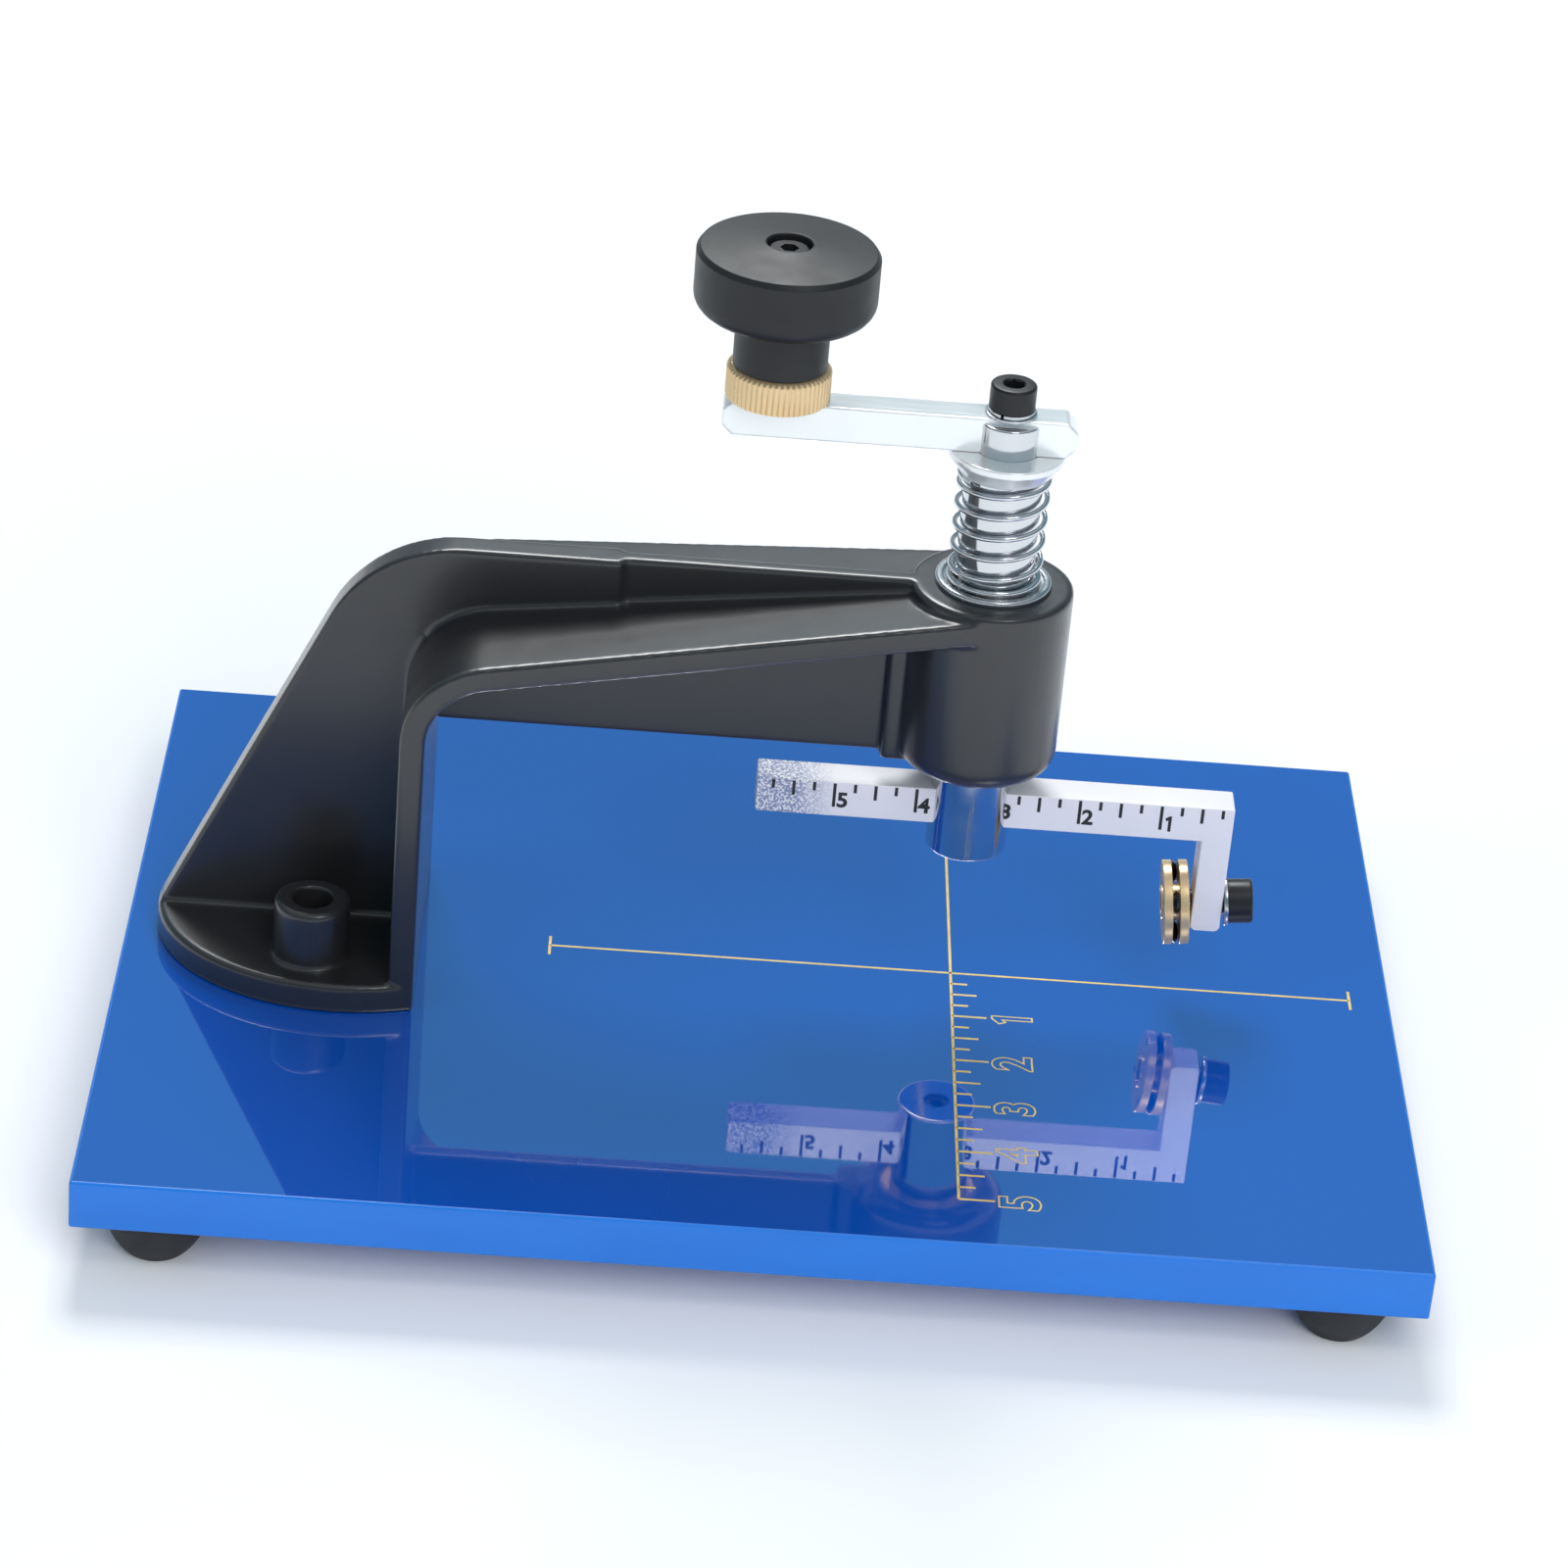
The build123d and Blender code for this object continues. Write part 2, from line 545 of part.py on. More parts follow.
def build_parts():
    """Every node by name; a list is a group of separate, identical pieces."""
    sides = (-1, 1)
    parts = {"base_board": base_board()}
    for name, x, y in foot_places():
        parts["rubber_foot_" + name] = rubber_foot(x, y)
    parts["foot_screws"] = [foot_screw(x, y) for _, x, y in foot_places()]
    parts["frame_casting"] = frame_casting()
    parts["frame_bolts"] = [frame_bolt(side) for side in sides]
    parts["frame_nuts"] = [frame_nut(side) for side in sides]
    parts["frame_nut_washers"] = [frame_nut_washer(side) for side in sides]
    low = HEAD_BOTTOM + LOWER_BUSH_RECESS
    parts["lower_bush"] = sleeve(BUSH_R, SPINDLE_LOW_R + RUN_FIT, low, low + LOWER_BUSH_H)
    parts["upper_bush"] = sleeve(BUSH_R, SPINDLE_UP_R + RUN_FIT, SPINDLE_SHOULDER, FRAME_TOP)
    parts["spring_seat_washer"] = spring_seat_washer()
    parts["return_spring"] = return_spring()
    parts["spring_retainer"] = spring_retainer()
    parts["spindle"] = spindle()
    parts["arm_clamp_screw"] = arm_clamp_screw()
    parts["crank_bar"] = crank_bar()
    parts["crank_flat_washer"] = crank_flat_washer()
    parts["crank_lock_washer"] = crank_lock_washer()
    parts["crank_screw"] = crank_screw()
    parts["knob_axle_screw"] = knob_axle_screw()
    parts["knob"] = knob()
    parts["knob_ferrule"] = knob_ferrule()
    parts["scale_arm"] = scale_arm()
    parts["turret_screw"] = turret_screw()
    parts["turret_washer"] = turret_washer()
    parts["turret_disc_outer"] = turret_disc(-1)
    parts["turret_disc_inner"] = turret_disc(1)
    parts["turret_hub"] = turret_hub()
    parts["wheel_pins"] = [wheel_pin(place) for place in pin_places()]
    for number, place in enumerate(pin_places(), start=1):
        parts[f"cutting_wheel_{number}"] = cutting_wheel(place)
    return parts


def main():
    """Write one STEP file per node."""
    os.makedirs("parts", exist_ok=True)
    for name, shape in build_parts().items():
        if isinstance(shape, list):
            shape = Compound(children=[Solid(s.solid().wrapped) for s in shape])
        export_step(shape, f"parts/{name}.step")


main()
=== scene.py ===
"""Looks of a hand-cranked bench circle cutter for glass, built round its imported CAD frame.

Every shape is worked out in millimetres in the frame's own axes and turned into metres when its
piece is placed. Each sub-assembly is a class with its own sizes, and each finish is a small class.
"""
from __future__ import annotations

import json
import logging
import math
from dataclasses import dataclass
from enum import Enum
from typing import Iterable, Sequence

import bmesh
import bpy
from mathutils import Matrix, Quaternion, Vector

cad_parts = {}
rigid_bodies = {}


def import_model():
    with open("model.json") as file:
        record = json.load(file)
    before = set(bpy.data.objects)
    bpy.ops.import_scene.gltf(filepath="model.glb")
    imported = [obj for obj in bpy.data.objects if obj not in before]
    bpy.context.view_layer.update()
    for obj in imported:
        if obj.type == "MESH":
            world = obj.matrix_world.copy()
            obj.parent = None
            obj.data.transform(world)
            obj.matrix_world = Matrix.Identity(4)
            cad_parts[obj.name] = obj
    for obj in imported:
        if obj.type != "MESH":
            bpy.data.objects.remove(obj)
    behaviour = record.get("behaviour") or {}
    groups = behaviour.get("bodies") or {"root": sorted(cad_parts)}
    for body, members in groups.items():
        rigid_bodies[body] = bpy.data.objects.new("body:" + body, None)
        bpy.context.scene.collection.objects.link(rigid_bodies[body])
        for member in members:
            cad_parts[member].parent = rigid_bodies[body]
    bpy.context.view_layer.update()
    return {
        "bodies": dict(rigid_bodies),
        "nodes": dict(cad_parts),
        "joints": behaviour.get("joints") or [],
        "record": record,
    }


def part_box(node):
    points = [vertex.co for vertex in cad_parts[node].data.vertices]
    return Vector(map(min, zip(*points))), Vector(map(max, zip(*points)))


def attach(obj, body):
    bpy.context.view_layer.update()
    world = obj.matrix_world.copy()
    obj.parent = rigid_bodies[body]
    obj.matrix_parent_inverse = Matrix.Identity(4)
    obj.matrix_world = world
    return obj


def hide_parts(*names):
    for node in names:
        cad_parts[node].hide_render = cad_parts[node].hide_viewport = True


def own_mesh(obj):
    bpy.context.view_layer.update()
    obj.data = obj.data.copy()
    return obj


LOG = logging.getLogger("circle_cutter")
MM = 0.001
FULL_TURN = 2 * math.pi
# Distances in millimetres: doubles merged in a form and in a CAD mesh, and how far a cutter overshoots.
WELD, MESH_WELD, BEYOND = 0.0005, 0.002, 1.0
# Height of a digit as a share of its font's size.
DIGIT_SHARE = 0.7
# The span that most of a noise texture's values lie in, and the span of a whole factor.
NOISE_SPAN, WHOLE = (0.3, 0.7), (0.0, 1.0)
# Colour sockets of a Mix node.
MIX_LOW, MIX_HIGH, MIX_COLOR = 6, 7, 2
# Outline of a figure one with a flag, one unit high, round its own middle.
FLAGGED_ONE = ((0.0, -0.5), (0.1, -0.5), (0.1, 0.5), (0.02, 0.5), (-0.2, 0.34), (-0.15, 0.24), (0.0, 0.35))
Color = tuple[float, float, float]
Profile = Sequence[tuple[float, float]]


class Slot(Enum):
    """Material slots of the record that pieces take their finish from."""

    ACRYLIC = "blue_acrylic"
    RUBBER = "black_rubber"
    ENAMEL = "black_enamel"
    OXIDE = "black_oxide"
    ZINC = "zinc_steel"
    BRONZE = "bronze"
    SPRING = "spring_steel"
    NICKEL = "nickel"
    GROUND = "ground_steel"
    PLASTIC = "black_plastic"
    BRASS = "brass"
    ALUMINIUM = "satin_aluminium"
    CARBIDE = "carbide"


class Body(Enum):
    """Rigid bodies of the frame."""

    STAND = "stand"
    PRESS = "press_carriage"
    CRANK = "crank"
    KNOB = "knob"
    ARM = "arm"
    TURRET = "turret"


# ---------------------------------------------------------------- finishes
class Shader:
    """One material's node tree round a Principled BSDF."""

    def __init__(self, name: str, constants: dict[str, object]) -> None:
        """Start a material whose Principled sockets hold the given constants.

        Args:
            name: The material's name.
            constants: Values by the name of their socket.
        """
        self.material = bpy.data.materials.new(name)
        self.material.use_nodes = True
        self.tree = self.material.node_tree
        self.surface = self.tree.nodes["Principled BSDF"]
        for socket, value in constants.items():
            self.surface.inputs[socket].default_value = value

    def node(self, kind: str, **settings: object) -> bpy.types.Node:
        """Add a node and set its properties.

        Args:
            kind: The node's type.
            settings: Its properties by name.

        Returns:
            The new node.
        """
        made = self.tree.nodes.new(kind)
        for key, value in settings.items():
            setattr(made, key, value)
        return made

    def link(self, source: bpy.types.NodeSocket, target: bpy.types.NodeSocket) -> None:
        """Join two sockets."""
        self.tree.links.new(source, target)

    def coords(self, stretch: Color = (1.0, 1.0, 1.0)) -> bpy.types.NodeSocket:
        """Object coordinates, stretched.

        Args:
            stretch: Factor along each axis.

        Returns:
            The mapped vector.
        """
        source = self.node("ShaderNodeTexCoord").outputs["Object"]
        mapping = self.node("ShaderNodeMapping")
        mapping.inputs["Scale"].default_value = stretch
        self.link(source, mapping.inputs["Vector"])
        return mapping.outputs["Vector"]

    def noise(self, scale: float, detail: float = 3.0, stretch: Color = (1.0, 1.0, 1.0)
              ) -> bpy.types.NodeSocket:
        """Noise over the piece, with its scale in features per metre.

        Args:
            scale: Features per metre.
            detail: Octaves of finer noise.
            stretch: Factor along each axis.

        Returns:
            The noise.
        """
        noise = self.node("ShaderNodeTexNoise")
        noise.inputs["Scale"].default_value = scale
        noise.inputs["Detail"].default_value = detail
        self.link(self.coords(stretch), noise.inputs["Vector"])
        return noise.outputs["Fac"]

    def remap(self, value: bpy.types.NodeSocket, source: tuple[float, float],
              target: tuple[float, float]) -> bpy.types.NodeSocket:
        """Map a value from one range to another, clamped.

        Args:
            value: What is mapped.
            source: The range that it has.
            target: The range that it gets.

        Returns:
            The mapped value.
        """
        ranged = self.node("ShaderNodeMapRange")
        for name, number in zip(("From Min", "From Max", "To Min", "To Max"), source + target):
            ranged.inputs[name].default_value = number
        self.link(value, ranged.inputs["Value"])
        return ranged.outputs["Result"]

    def math(self, operation: str, *values: object) -> bpy.types.NodeSocket:
        """A Math node on sockets or numbers.

        Args:
            operation: The operation's name.
            values: Sockets or numbers, in order.

        Returns:
            The result.
        """
        made = self.node("ShaderNodeMath", operation=operation)
        for socket, value in zip(made.inputs, values):
            if isinstance(value, (int, float)):
                socket.default_value = value
            else:
                self.link(value, socket)
        return made.outputs[0]

    def mix(self, factor: bpy.types.NodeSocket, low: object, high: object) -> bpy.types.NodeSocket:
        """Mix two colours, each a triple or a socket, by a factor.

        Args:
            factor: Share of the high colour.
            low: Colour at 0.
            high: Colour at 1.

        Returns:
            The mixed colour.
        """
        mix = self.node("ShaderNodeMix", data_type="RGBA")
        self.link(factor, mix.inputs["Factor"])
        for socket, color in ((mix.inputs[MIX_LOW], low), (mix.inputs[MIX_HIGH], high)):
            if isinstance(color, tuple):
                socket.default_value = (*color, 1.0)
            else:
                self.link(color, socket)
        return mix.outputs[MIX_COLOR]

    def set(self, name: str, source: bpy.types.NodeSocket) -> None:
        """Feed a socket of the surface."""
        self.link(source, self.surface.inputs[name])

    def spread(self, scale: float, detail: float = 3.0, stretch: Color = (1.0, 1.0, 1.0),
               target: tuple[float, float] = WHOLE) -> bpy.types.NodeSocket:
        """Noise whose usual span is mapped to a range.

        Args:
            scale: Features per metre.
            detail: Octaves of finer noise.
            stretch: Factor along each axis.
            target: The range that the noise fills.

        Returns:
            The mapped noise.
        """
        return self.remap(self.noise(scale, detail, stretch), NOISE_SPAN, target)

    def bump(self, *layers: tuple[bpy.types.NodeSocket, float]) -> None:
        """Stack bump layers, each a height and its depth in millimetres.

        Args:
            layers: The layers, the lowest first.
        """
        previous = None
        for height, depth in layers:
            bump = self.node("ShaderNodeBump")
            bump.inputs["Distance"].default_value = depth * MM
            self.link(height, bump.inputs["Height"])
            if previous is not None:
                self.link(previous, bump.inputs["Normal"])
            previous = bump.outputs["Normal"]
        self.set("Normal", previous)


@dataclass(frozen=True)
class Finish:
    """A surface with a colour that drifts a little, uneven gloss and a fine relief."""

    color: Color
    metallic: float = 0.0
    gloss: tuple[float, float] = (0.35, 0.45)
    drift: float = 0.12
    drift_scale: float = 60.0
    relief: float = 0.0
    relief_scale: float = 2500.0
    coat: float = 0.0
    coat_roughness: float = 0.1
    ior: float = 1.5
    smear: float = 4.0

    def constants(self) -> dict[str, object]:
        """Values that are the same all over the surface."""
        return {"Metallic": self.metallic, "IOR": self.ior, "Coat Weight": self.coat,
                "Coat Roughness": self.coat_roughness}

    def tints(self) -> tuple[Color, Color]:
        """The darker and lighter ends of the colour's drift."""
        return (tuple(c * (1 - self.drift) for c in self.color),
                tuple(min(1.0, c * (1 + self.drift)) for c in self.color))

    def paint(self, shader: Shader) -> None:
        """Colour, gloss and relief.

        Args:
            shader: The material's nodes.
        """
        shader.set("Base Color", shader.mix(shader.spread(self.drift_scale), *self.tints()))
        shader.set("Roughness", shader.spread(self.drift_scale * self.smear, 5.0, target=self.gloss))
        if self.relief > 0:
            shader.bump((shader.noise(self.relief_scale, 4.0), self.relief))

    def build(self, name: str) -> bpy.types.Material:
        """Make the material.

        Args:
            name: The material's name.

        Returns:
            The material.
        """
        shader = Shader(name, self.constants())
        self.paint(shader)
        return shader.material


@dataclass(frozen=True)
class GlossAcrylic(Finish):
    """The mirror-like face of cast acrylic, with faint smears from handling."""

    cloud_scale: float = 9.0
    wipe_scale: float = 25.0
    wipe_stretch: Color = (1.0, 2.5, 1.0)
    wipe_span: tuple[float, float] = (0.35, 0.7)

    def paint(self, shader: Shader) -> None:
        """Deep colour, and gloss that wanders a little in wiped streaks.

        Args:
            shader: The material's nodes.
        """
        shader.set("Base Color", shader.mix(shader.spread(self.cloud_scale), *self.tints()))
        wipe = shader.noise(self.wipe_scale, 5.0, self.wipe_stretch)
        shader.set("Roughness", shader.remap(wipe, self.wipe_span, self.gloss))


@dataclass(frozen=True)
class SawnAcrylic(Finish):
    """The board's sides, painted a lighter blue than the top as painted glow of the light that the sheet
    carries.
    """

    cloud_stretch: Color = (1.0, 1.0, 6.0)
    saw_scale: float = 900.0
    saw_stretch: Color = (1.0, 1.0, 0.05)

    def paint(self, shader: Shader) -> None:
        """Lighter colour as painted glow, with soft clouds and faint upright saw marks.

        Args:
            shader: The material's nodes.
        """
        cloud = shader.spread(self.drift_scale, 2.0, self.cloud_stretch)
        shader.set("Base Color", shader.mix(cloud, *self.tints()))
        marks = shader.noise(self.saw_scale, 2.0, self.saw_stretch)
        shader.set("Roughness", shader.remap(marks, NOISE_SPAN, self.gloss))
        shader.bump((marks, self.relief))


@dataclass(frozen=True)
class CastEnamel(Finish):
    """Stoved satin enamel over a casting."""

    swell: float = 0.04
    swell_scale: float = 120.0
    peel_scale: float = 300.0

    def paint(self, shader: Shader) -> None:
        """Enamel with orange peel over the slow swell of the casting.

        Args:
            shader: The material's nodes.
        """
        shader.set("Base Color", shader.mix(shader.spread(self.drift_scale), *self.tints()))
        shader.set("Roughness", shader.spread(self.peel_scale, 4.0, target=self.gloss))
        shader.bump((shader.noise(self.swell_scale, 2.0), self.swell),
                    (shader.noise(self.relief_scale, 3.0), self.relief))


@dataclass(frozen=True)
class TurnedMetal(Finish):
    """Metal turned on a lathe: fine rings round an upright axis."""

    ring_pitch: float = 0.12
    ring_depth: float = 0.002
    ring_length: float = 25.0
    grain: float = 8.0
    grain_share: float = 0.5

    def paint(self, shader: Shader) -> None:
        """Rings along the height, and uneven gloss.

        Args:
            shader: The material's nodes.
        """
        super().paint(shader)
        along = 1 / (self.ring_length * MM)
        rings = shader.noise(1.0, 2.0, (along, along, 1 / (self.ring_pitch * MM)))
        grain = shader.noise(self.drift_scale * self.grain)
        shader.bump((grain, self.ring_depth * self.grain_share), (rings, self.ring_depth))


@dataclass(frozen=True)
class DrawnMetal(Finish):
    """Metal brushed or drawn along X."""

    streak: float = 6000.0
    depth: float = 0.003
    draw: Color = (0.02, 1.0, 1.0)

    def paint(self, shader: Shader) -> None:
        """Long fine streaks in gloss and relief.

        Args:
            shader: The material's nodes.
        """
        shader.set("Base Color", shader.mix(shader.spread(self.drift_scale), *self.tints()))
        streaks = shader.noise(self.streak, 2.0, self.draw)
        shader.set("Roughness", shader.remap(streaks, NOISE_SPAN, self.gloss))
        shader.bump((streaks, self.depth))


@dataclass(frozen=True)
class BlastedAluminium(Finish):
    """Bead-blasted aluminium, with painted shade at the bar's free end: a blotchy, dark bluish colour mixed
    into its own.
    """

    # Painted shade: its dark bluish colour, where it starts and where it is full, and its blots.
    patch: Color = (0.16, 0.21, 0.38)
    patch_from: float = 9.0
    patch_to: float = 3.0
    blot_scale: float = 2600.0
    blot_span: tuple[float, float] = (0.4, 0.54)
    blot_strength: float = 0.85
    sheen_scale: float = 500.0
    bead_scale: float = 4500.0

    def paint(self, shader: Shader) -> None:
        """Blasted grain all over, with painted shade mixed in by blotches near the free end.

        Args:
            shader: The material's nodes.
        """
        drift = shader.spread(self.drift_scale)
        place = shader.node("ShaderNodeSeparateXYZ")
        shader.link(shader.coords(), place.inputs[0])
        # Painted shade: full below x = 3 mm, fading out by 9 mm, broken into blots by noise.
        near = shader.remap(place.outputs["X"], (self.patch_to * MM, self.patch_from * MM), (1.0, 0.0))
        blots = shader.remap(shader.noise(self.blot_scale, 1.0), self.blot_span,
                             (0.0, self.blot_strength))
        shade_blots = shader.math("MULTIPLY", near, blots)
        shader.set("Base Color", shader.mix(shade_blots, shader.mix(drift, *self.tints()), self.patch))
        shader.set("Roughness", shader.spread(self.sheen_scale, 4.0, target=self.gloss))
        shader.bump((shader.noise(self.bead_scale, 2.0), self.relief))


FINISHES: dict[Slot, Finish] = {
    Slot.ACRYLIC: GlossAcrylic((0.0, 0.1, 0.6), gloss=(0.012, 0.03), drift=0.04, ior=4.6),
    Slot.RUBBER: Finish((0.018, 0.018, 0.02), gloss=(0.55, 0.75), relief=0.03, relief_scale=1800.0),
    Slot.ENAMEL: CastEnamel((0.015, 0.0145, 0.016), gloss=(0.32, 0.4), drift=0.12, drift_scale=30.0,
                            relief=0.004, coat=0.7, coat_roughness=0.2),
    Slot.OXIDE: Finish((0.016, 0.016, 0.018), metallic=0.3, gloss=(0.3, 0.45), relief=0.003,
                       relief_scale=5000.0),
    Slot.ZINC: TurnedMetal((0.62, 0.63, 0.64), metallic=1.0, gloss=(0.2, 0.3), drift=0.05),
    Slot.BRONZE: TurnedMetal((0.55, 0.34, 0.14), metallic=1.0, gloss=(0.3, 0.4)),
    Slot.SPRING: Finish((0.72, 0.72, 0.74), metallic=1.0, gloss=(0.12, 0.22), drift=0.05),
    Slot.NICKEL: DrawnMetal((0.9, 0.92, 0.93), metallic=0.45, gloss=(0.16, 0.26), drift=0.02),
    Slot.GROUND: TurnedMetal((0.7, 0.71, 0.73), metallic=1.0, gloss=(0.09, 0.15), drift=0.04,
                             ring_depth=0.0008),
    Slot.PLASTIC: Finish((0.009, 0.009, 0.01), gloss=(0.42, 0.52), drift=0.1, relief=0.01,
                         relief_scale=4000.0),
    Slot.BRASS: TurnedMetal((0.78, 0.57, 0.32), metallic=0.6, gloss=(0.25, 0.36), drift=0.08),
    Slot.ALUMINIUM: BlastedAluminium((0.8, 0.78, 0.82), metallic=0.15, gloss=(0.4, 0.52),
                                     drift=0.03, relief=0.005),
    Slot.CARBIDE: Finish((0.03, 0.03, 0.034), metallic=0.8, gloss=(0.2, 0.3)),
}
COLLAR_STEEL = TurnedMetal((0.84, 0.85, 0.86), metallic=0.5, gloss=(0.12, 0.2), drift=0.04)
# The sides' lighter blue is painted glow of light carried through the sheet.
BOARD_SIDE_GLOW = SawnAcrylic((0.008, 0.17, 0.66), gloss=(0.28, 0.36), drift=0.04, drift_scale=40.0,
                         relief=0.0008)
GOLD_INK = Finish((0.85, 0.6, 0.17), gloss=(0.3, 0.45), drift=0.12, drift_scale=400.0)
BLACK_INK = Finish((0.02, 0.02, 0.022), gloss=(0.5, 0.65), drift=0.3, drift_scale=600.0)


# ---------------------------------------------------------------- shapes
@dataclass(frozen=True)
class Box:
    """Lowest and highest corner of a CAD node at rest, in millimetres."""

    low: Vector
    high: Vector

    @classmethod
    def of(cls, node: str) -> Box:
        """The box of a node of the frame."""
        low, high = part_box(node)
        return cls(low / MM, high / MM)

    @property
    def centre(self) -> Vector:
        """Middle of the box."""
        return (self.low + self.high) / 2

    @property
    def size(self) -> Vector:
        """Length of each side."""
        return self.high - self.low

    @property
    def radius(self) -> float:
        """Radius of a round upright piece that fills the box."""
        return self.size.x / 2


class Form:
    """A bmesh in millimetres, with the shaping steps that the pieces share."""

    def __init__(self) -> None:
        """Start empty."""
        self.bm = bmesh.new()

    @classmethod
    def lathe(cls, profile: Profile, steps: int = 96) -> Form:
        """Turn a closed profile of (radius, height) points about the upright axis.

        Args:
            profile: Points in order. The outline closes by itself, along the axis if it ends there.
            steps: Faces round the full turn.

        Returns:
            The turned form, with its poles merged.
        """
        form = cls()
        ring = [form.bm.verts.new((radius, 0.0, height)) for radius, height in profile]
        for first, second in zip(ring, ring[1:] + ring[:1]):
            if max(first.co.x, second.co.x) > 0:
                form.bm.edges.new((first, second))
        bmesh.ops.spin(form.bm, geom=form.bm.verts[:] + form.bm.edges[:], cent=(0, 0, 0), dvec=(0, 0, 0),
                       axis=(0, 0, 1), angle=FULL_TURN, steps=steps, use_merge=True)
        return form.tidy()

    @classmethod
    def box(cls, low: Sequence[float], high: Sequence[float]) -> Form:
        """A box between two corners.

        Args:
            low: Lowest corner.
            high: Highest corner.

        Returns:
            The box.
        """
        form = cls()
        bmesh.ops.create_cube(form.bm, size=1.0)
        low, high = Vector(low), Vector(high)
        bmesh.ops.scale(form.bm, vec=high - low, verts=form.bm.verts)
        return form.move((low + high) / 2)

    @classmethod
    def rod(cls, radius: float, low: float, high: float, steps: int = 48) -> Form:
        """An upright cylinder; six steps make a hexagon across its corners.

        Args:
            radius: Radius to the corners.
            low: Height of the lower end.
            high: Height of the upper end.
            steps: Faces round the full turn.

        Returns:
            The cylinder.
        """
        form = cls()
        bmesh.ops.create_cone(form.bm, cap_ends=True, segments=steps, radius1=radius, radius2=radius,
                              depth=high - low)
        return form.move((0, 0, (low + high) / 2))

    @classmethod
    def hexagon(cls, flats: float, low: float, high: float) -> Form:
        """An upright hexagonal prism, given its width across flats."""
        return cls.rod(flats / math.sqrt(3), low, high, 6)

    @classmethod
    def of_node(cls, node: bpy.types.Object) -> Form:
        """A welded copy of a CAD node's mesh.

        Args:
            node: The node's object.

        Returns:
            The copy, in millimetres.
        """
        form = cls()
        form.bm.from_mesh(node.data)
        bmesh.ops.scale(form.bm, vec=(1 / MM,) * 3, verts=form.bm.verts)
        bmesh.ops.remove_doubles(form.bm, verts=form.bm.verts, dist=MESH_WELD)
        return form

    @classmethod
    def text(cls, words: str, height: float, outline: float = 0.0, weight: float = 0.0) -> Form:
        """Flat lettering centred on the origin, read along +X with its top towards +Y.

        Args:
            words: What it says.
            height: Height of a digit.
            outline: Radius of a traced outline; 0 fills the letters instead.
            weight: How much the strokes are fattened.

        Returns:
            The lettering as a thin mesh.
        """
        if words == "1":
            curve = bpy.data.curves.new("lettering", "CURVE")
            curve.dimensions, curve.fill_mode = "2D", "BOTH"
            stroke = curve.splines.new("POLY")
            stroke.use_cyclic_u = True
            stroke.points.add(len(FLAGGED_ONE) - 1)
            for point, (x, y) in zip(stroke.points, FLAGGED_ONE):
                point.co = (x * height, y * height, 0, 1)
        else:
            curve = bpy.data.curves.new("lettering", "FONT")
            curve.body = words
            curve.align_x, curve.align_y = "CENTER", "CENTER"
            curve.size = height / DIGIT_SHARE
        curve.resolution_u = 6
        curve.offset = weight
        if outline > 0:
            curve.fill_mode = "NONE"
            curve.bevel_depth = outline
            curve.bevel_resolution = 1
        holder = bpy.data.objects.new("lettering", curve)
        bpy.context.scene.collection.objects.link(holder)
        mesh = bpy.data.meshes.new_from_object(holder.evaluated_get(bpy.context.evaluated_depsgraph_get()))
        form = cls()
        form.bm.from_mesh(mesh)
        bpy.data.objects.remove(holder)
        bpy.data.curves.remove(curve)
        bpy.data.meshes.remove(mesh)
        return form

    def tidy(self) -> Form:
        """Merge doubles and point all faces outwards.

        Returns:
            The form itself.
        """
        bmesh.ops.remove_doubles(self.bm, verts=self.bm.verts, dist=WELD)
        bmesh.ops.recalc_face_normals(self.bm, faces=self.bm.faces)
        return self

    def move(self, offset: Sequence[float]) -> Form:
        """Shift the form."""
        bmesh.ops.translate(self.bm, vec=Vector(offset), verts=self.bm.verts)
        return self

    def turn(self, matrix: Matrix) -> Form:
        """Apply a rigid transform."""
        bmesh.ops.transform(self.bm, matrix=matrix, verts=self.bm.verts)
        return self

    def add(self, *others: Form) -> Form:
        """Take in other forms as separate shells.

        Args:
            others: The shells, which are used up.

        Returns:
            The form itself.
        """
        for other in others:
            mesh = bpy.data.meshes.new("shell")
            other.bm.to_mesh(mesh)
            other.bm.free()
            self.bm.from_mesh(mesh)
            bpy.data.meshes.remove(mesh)
        return self

    def soften(self, width: float, segments: int = 2, angle: float = 35.0) -> Form:
        """Round every edge that is sharper than an angle in degrees.

        Args:
            width: Distance of the rounding from the edge.
            segments: Faces across it.
            angle: The least angle that counts as sharp.

        Returns:
            The form itself.
        """
        limit = math.radians(angle)
        sharp = [e for e in self.bm.edges if len(e.link_faces) == 2 and e.calc_face_angle(0.0) > limit]
        bmesh.ops.bevel(self.bm, geom=sharp, offset=width, offset_type="OFFSET", segments=segments,
                        profile=0.5, affect="EDGES", clamp_overlap=True, material=-1)
        return self

    def holder(self, name: str) -> bpy.types.Object:
        """A scratch object with the form's mesh.

        Args:
            name: The object's name.

        Returns:
            The object.
        """
        mesh = bpy.data.meshes.new(name)
        self.bm.to_mesh(mesh)
        made = bpy.data.objects.new(name, mesh)
        bpy.context.scene.collection.objects.link(made)
        return made

    def through(self, made: bpy.types.Object) -> Form:
        """Take the evaluated mesh of a scratch object and remove the object.

        Args:
            made: The scratch object.

        Returns:
            The form itself.
        """
        mesh = bpy.data.meshes.new_from_object(made.evaluated_get(bpy.context.evaluated_depsgraph_get()))
        self.bm.free()
        self.bm = bmesh.new()
        self.bm.from_mesh(mesh)
        bpy.data.meshes.remove(mesh)
        bpy.data.meshes.remove(made.data)
        return self

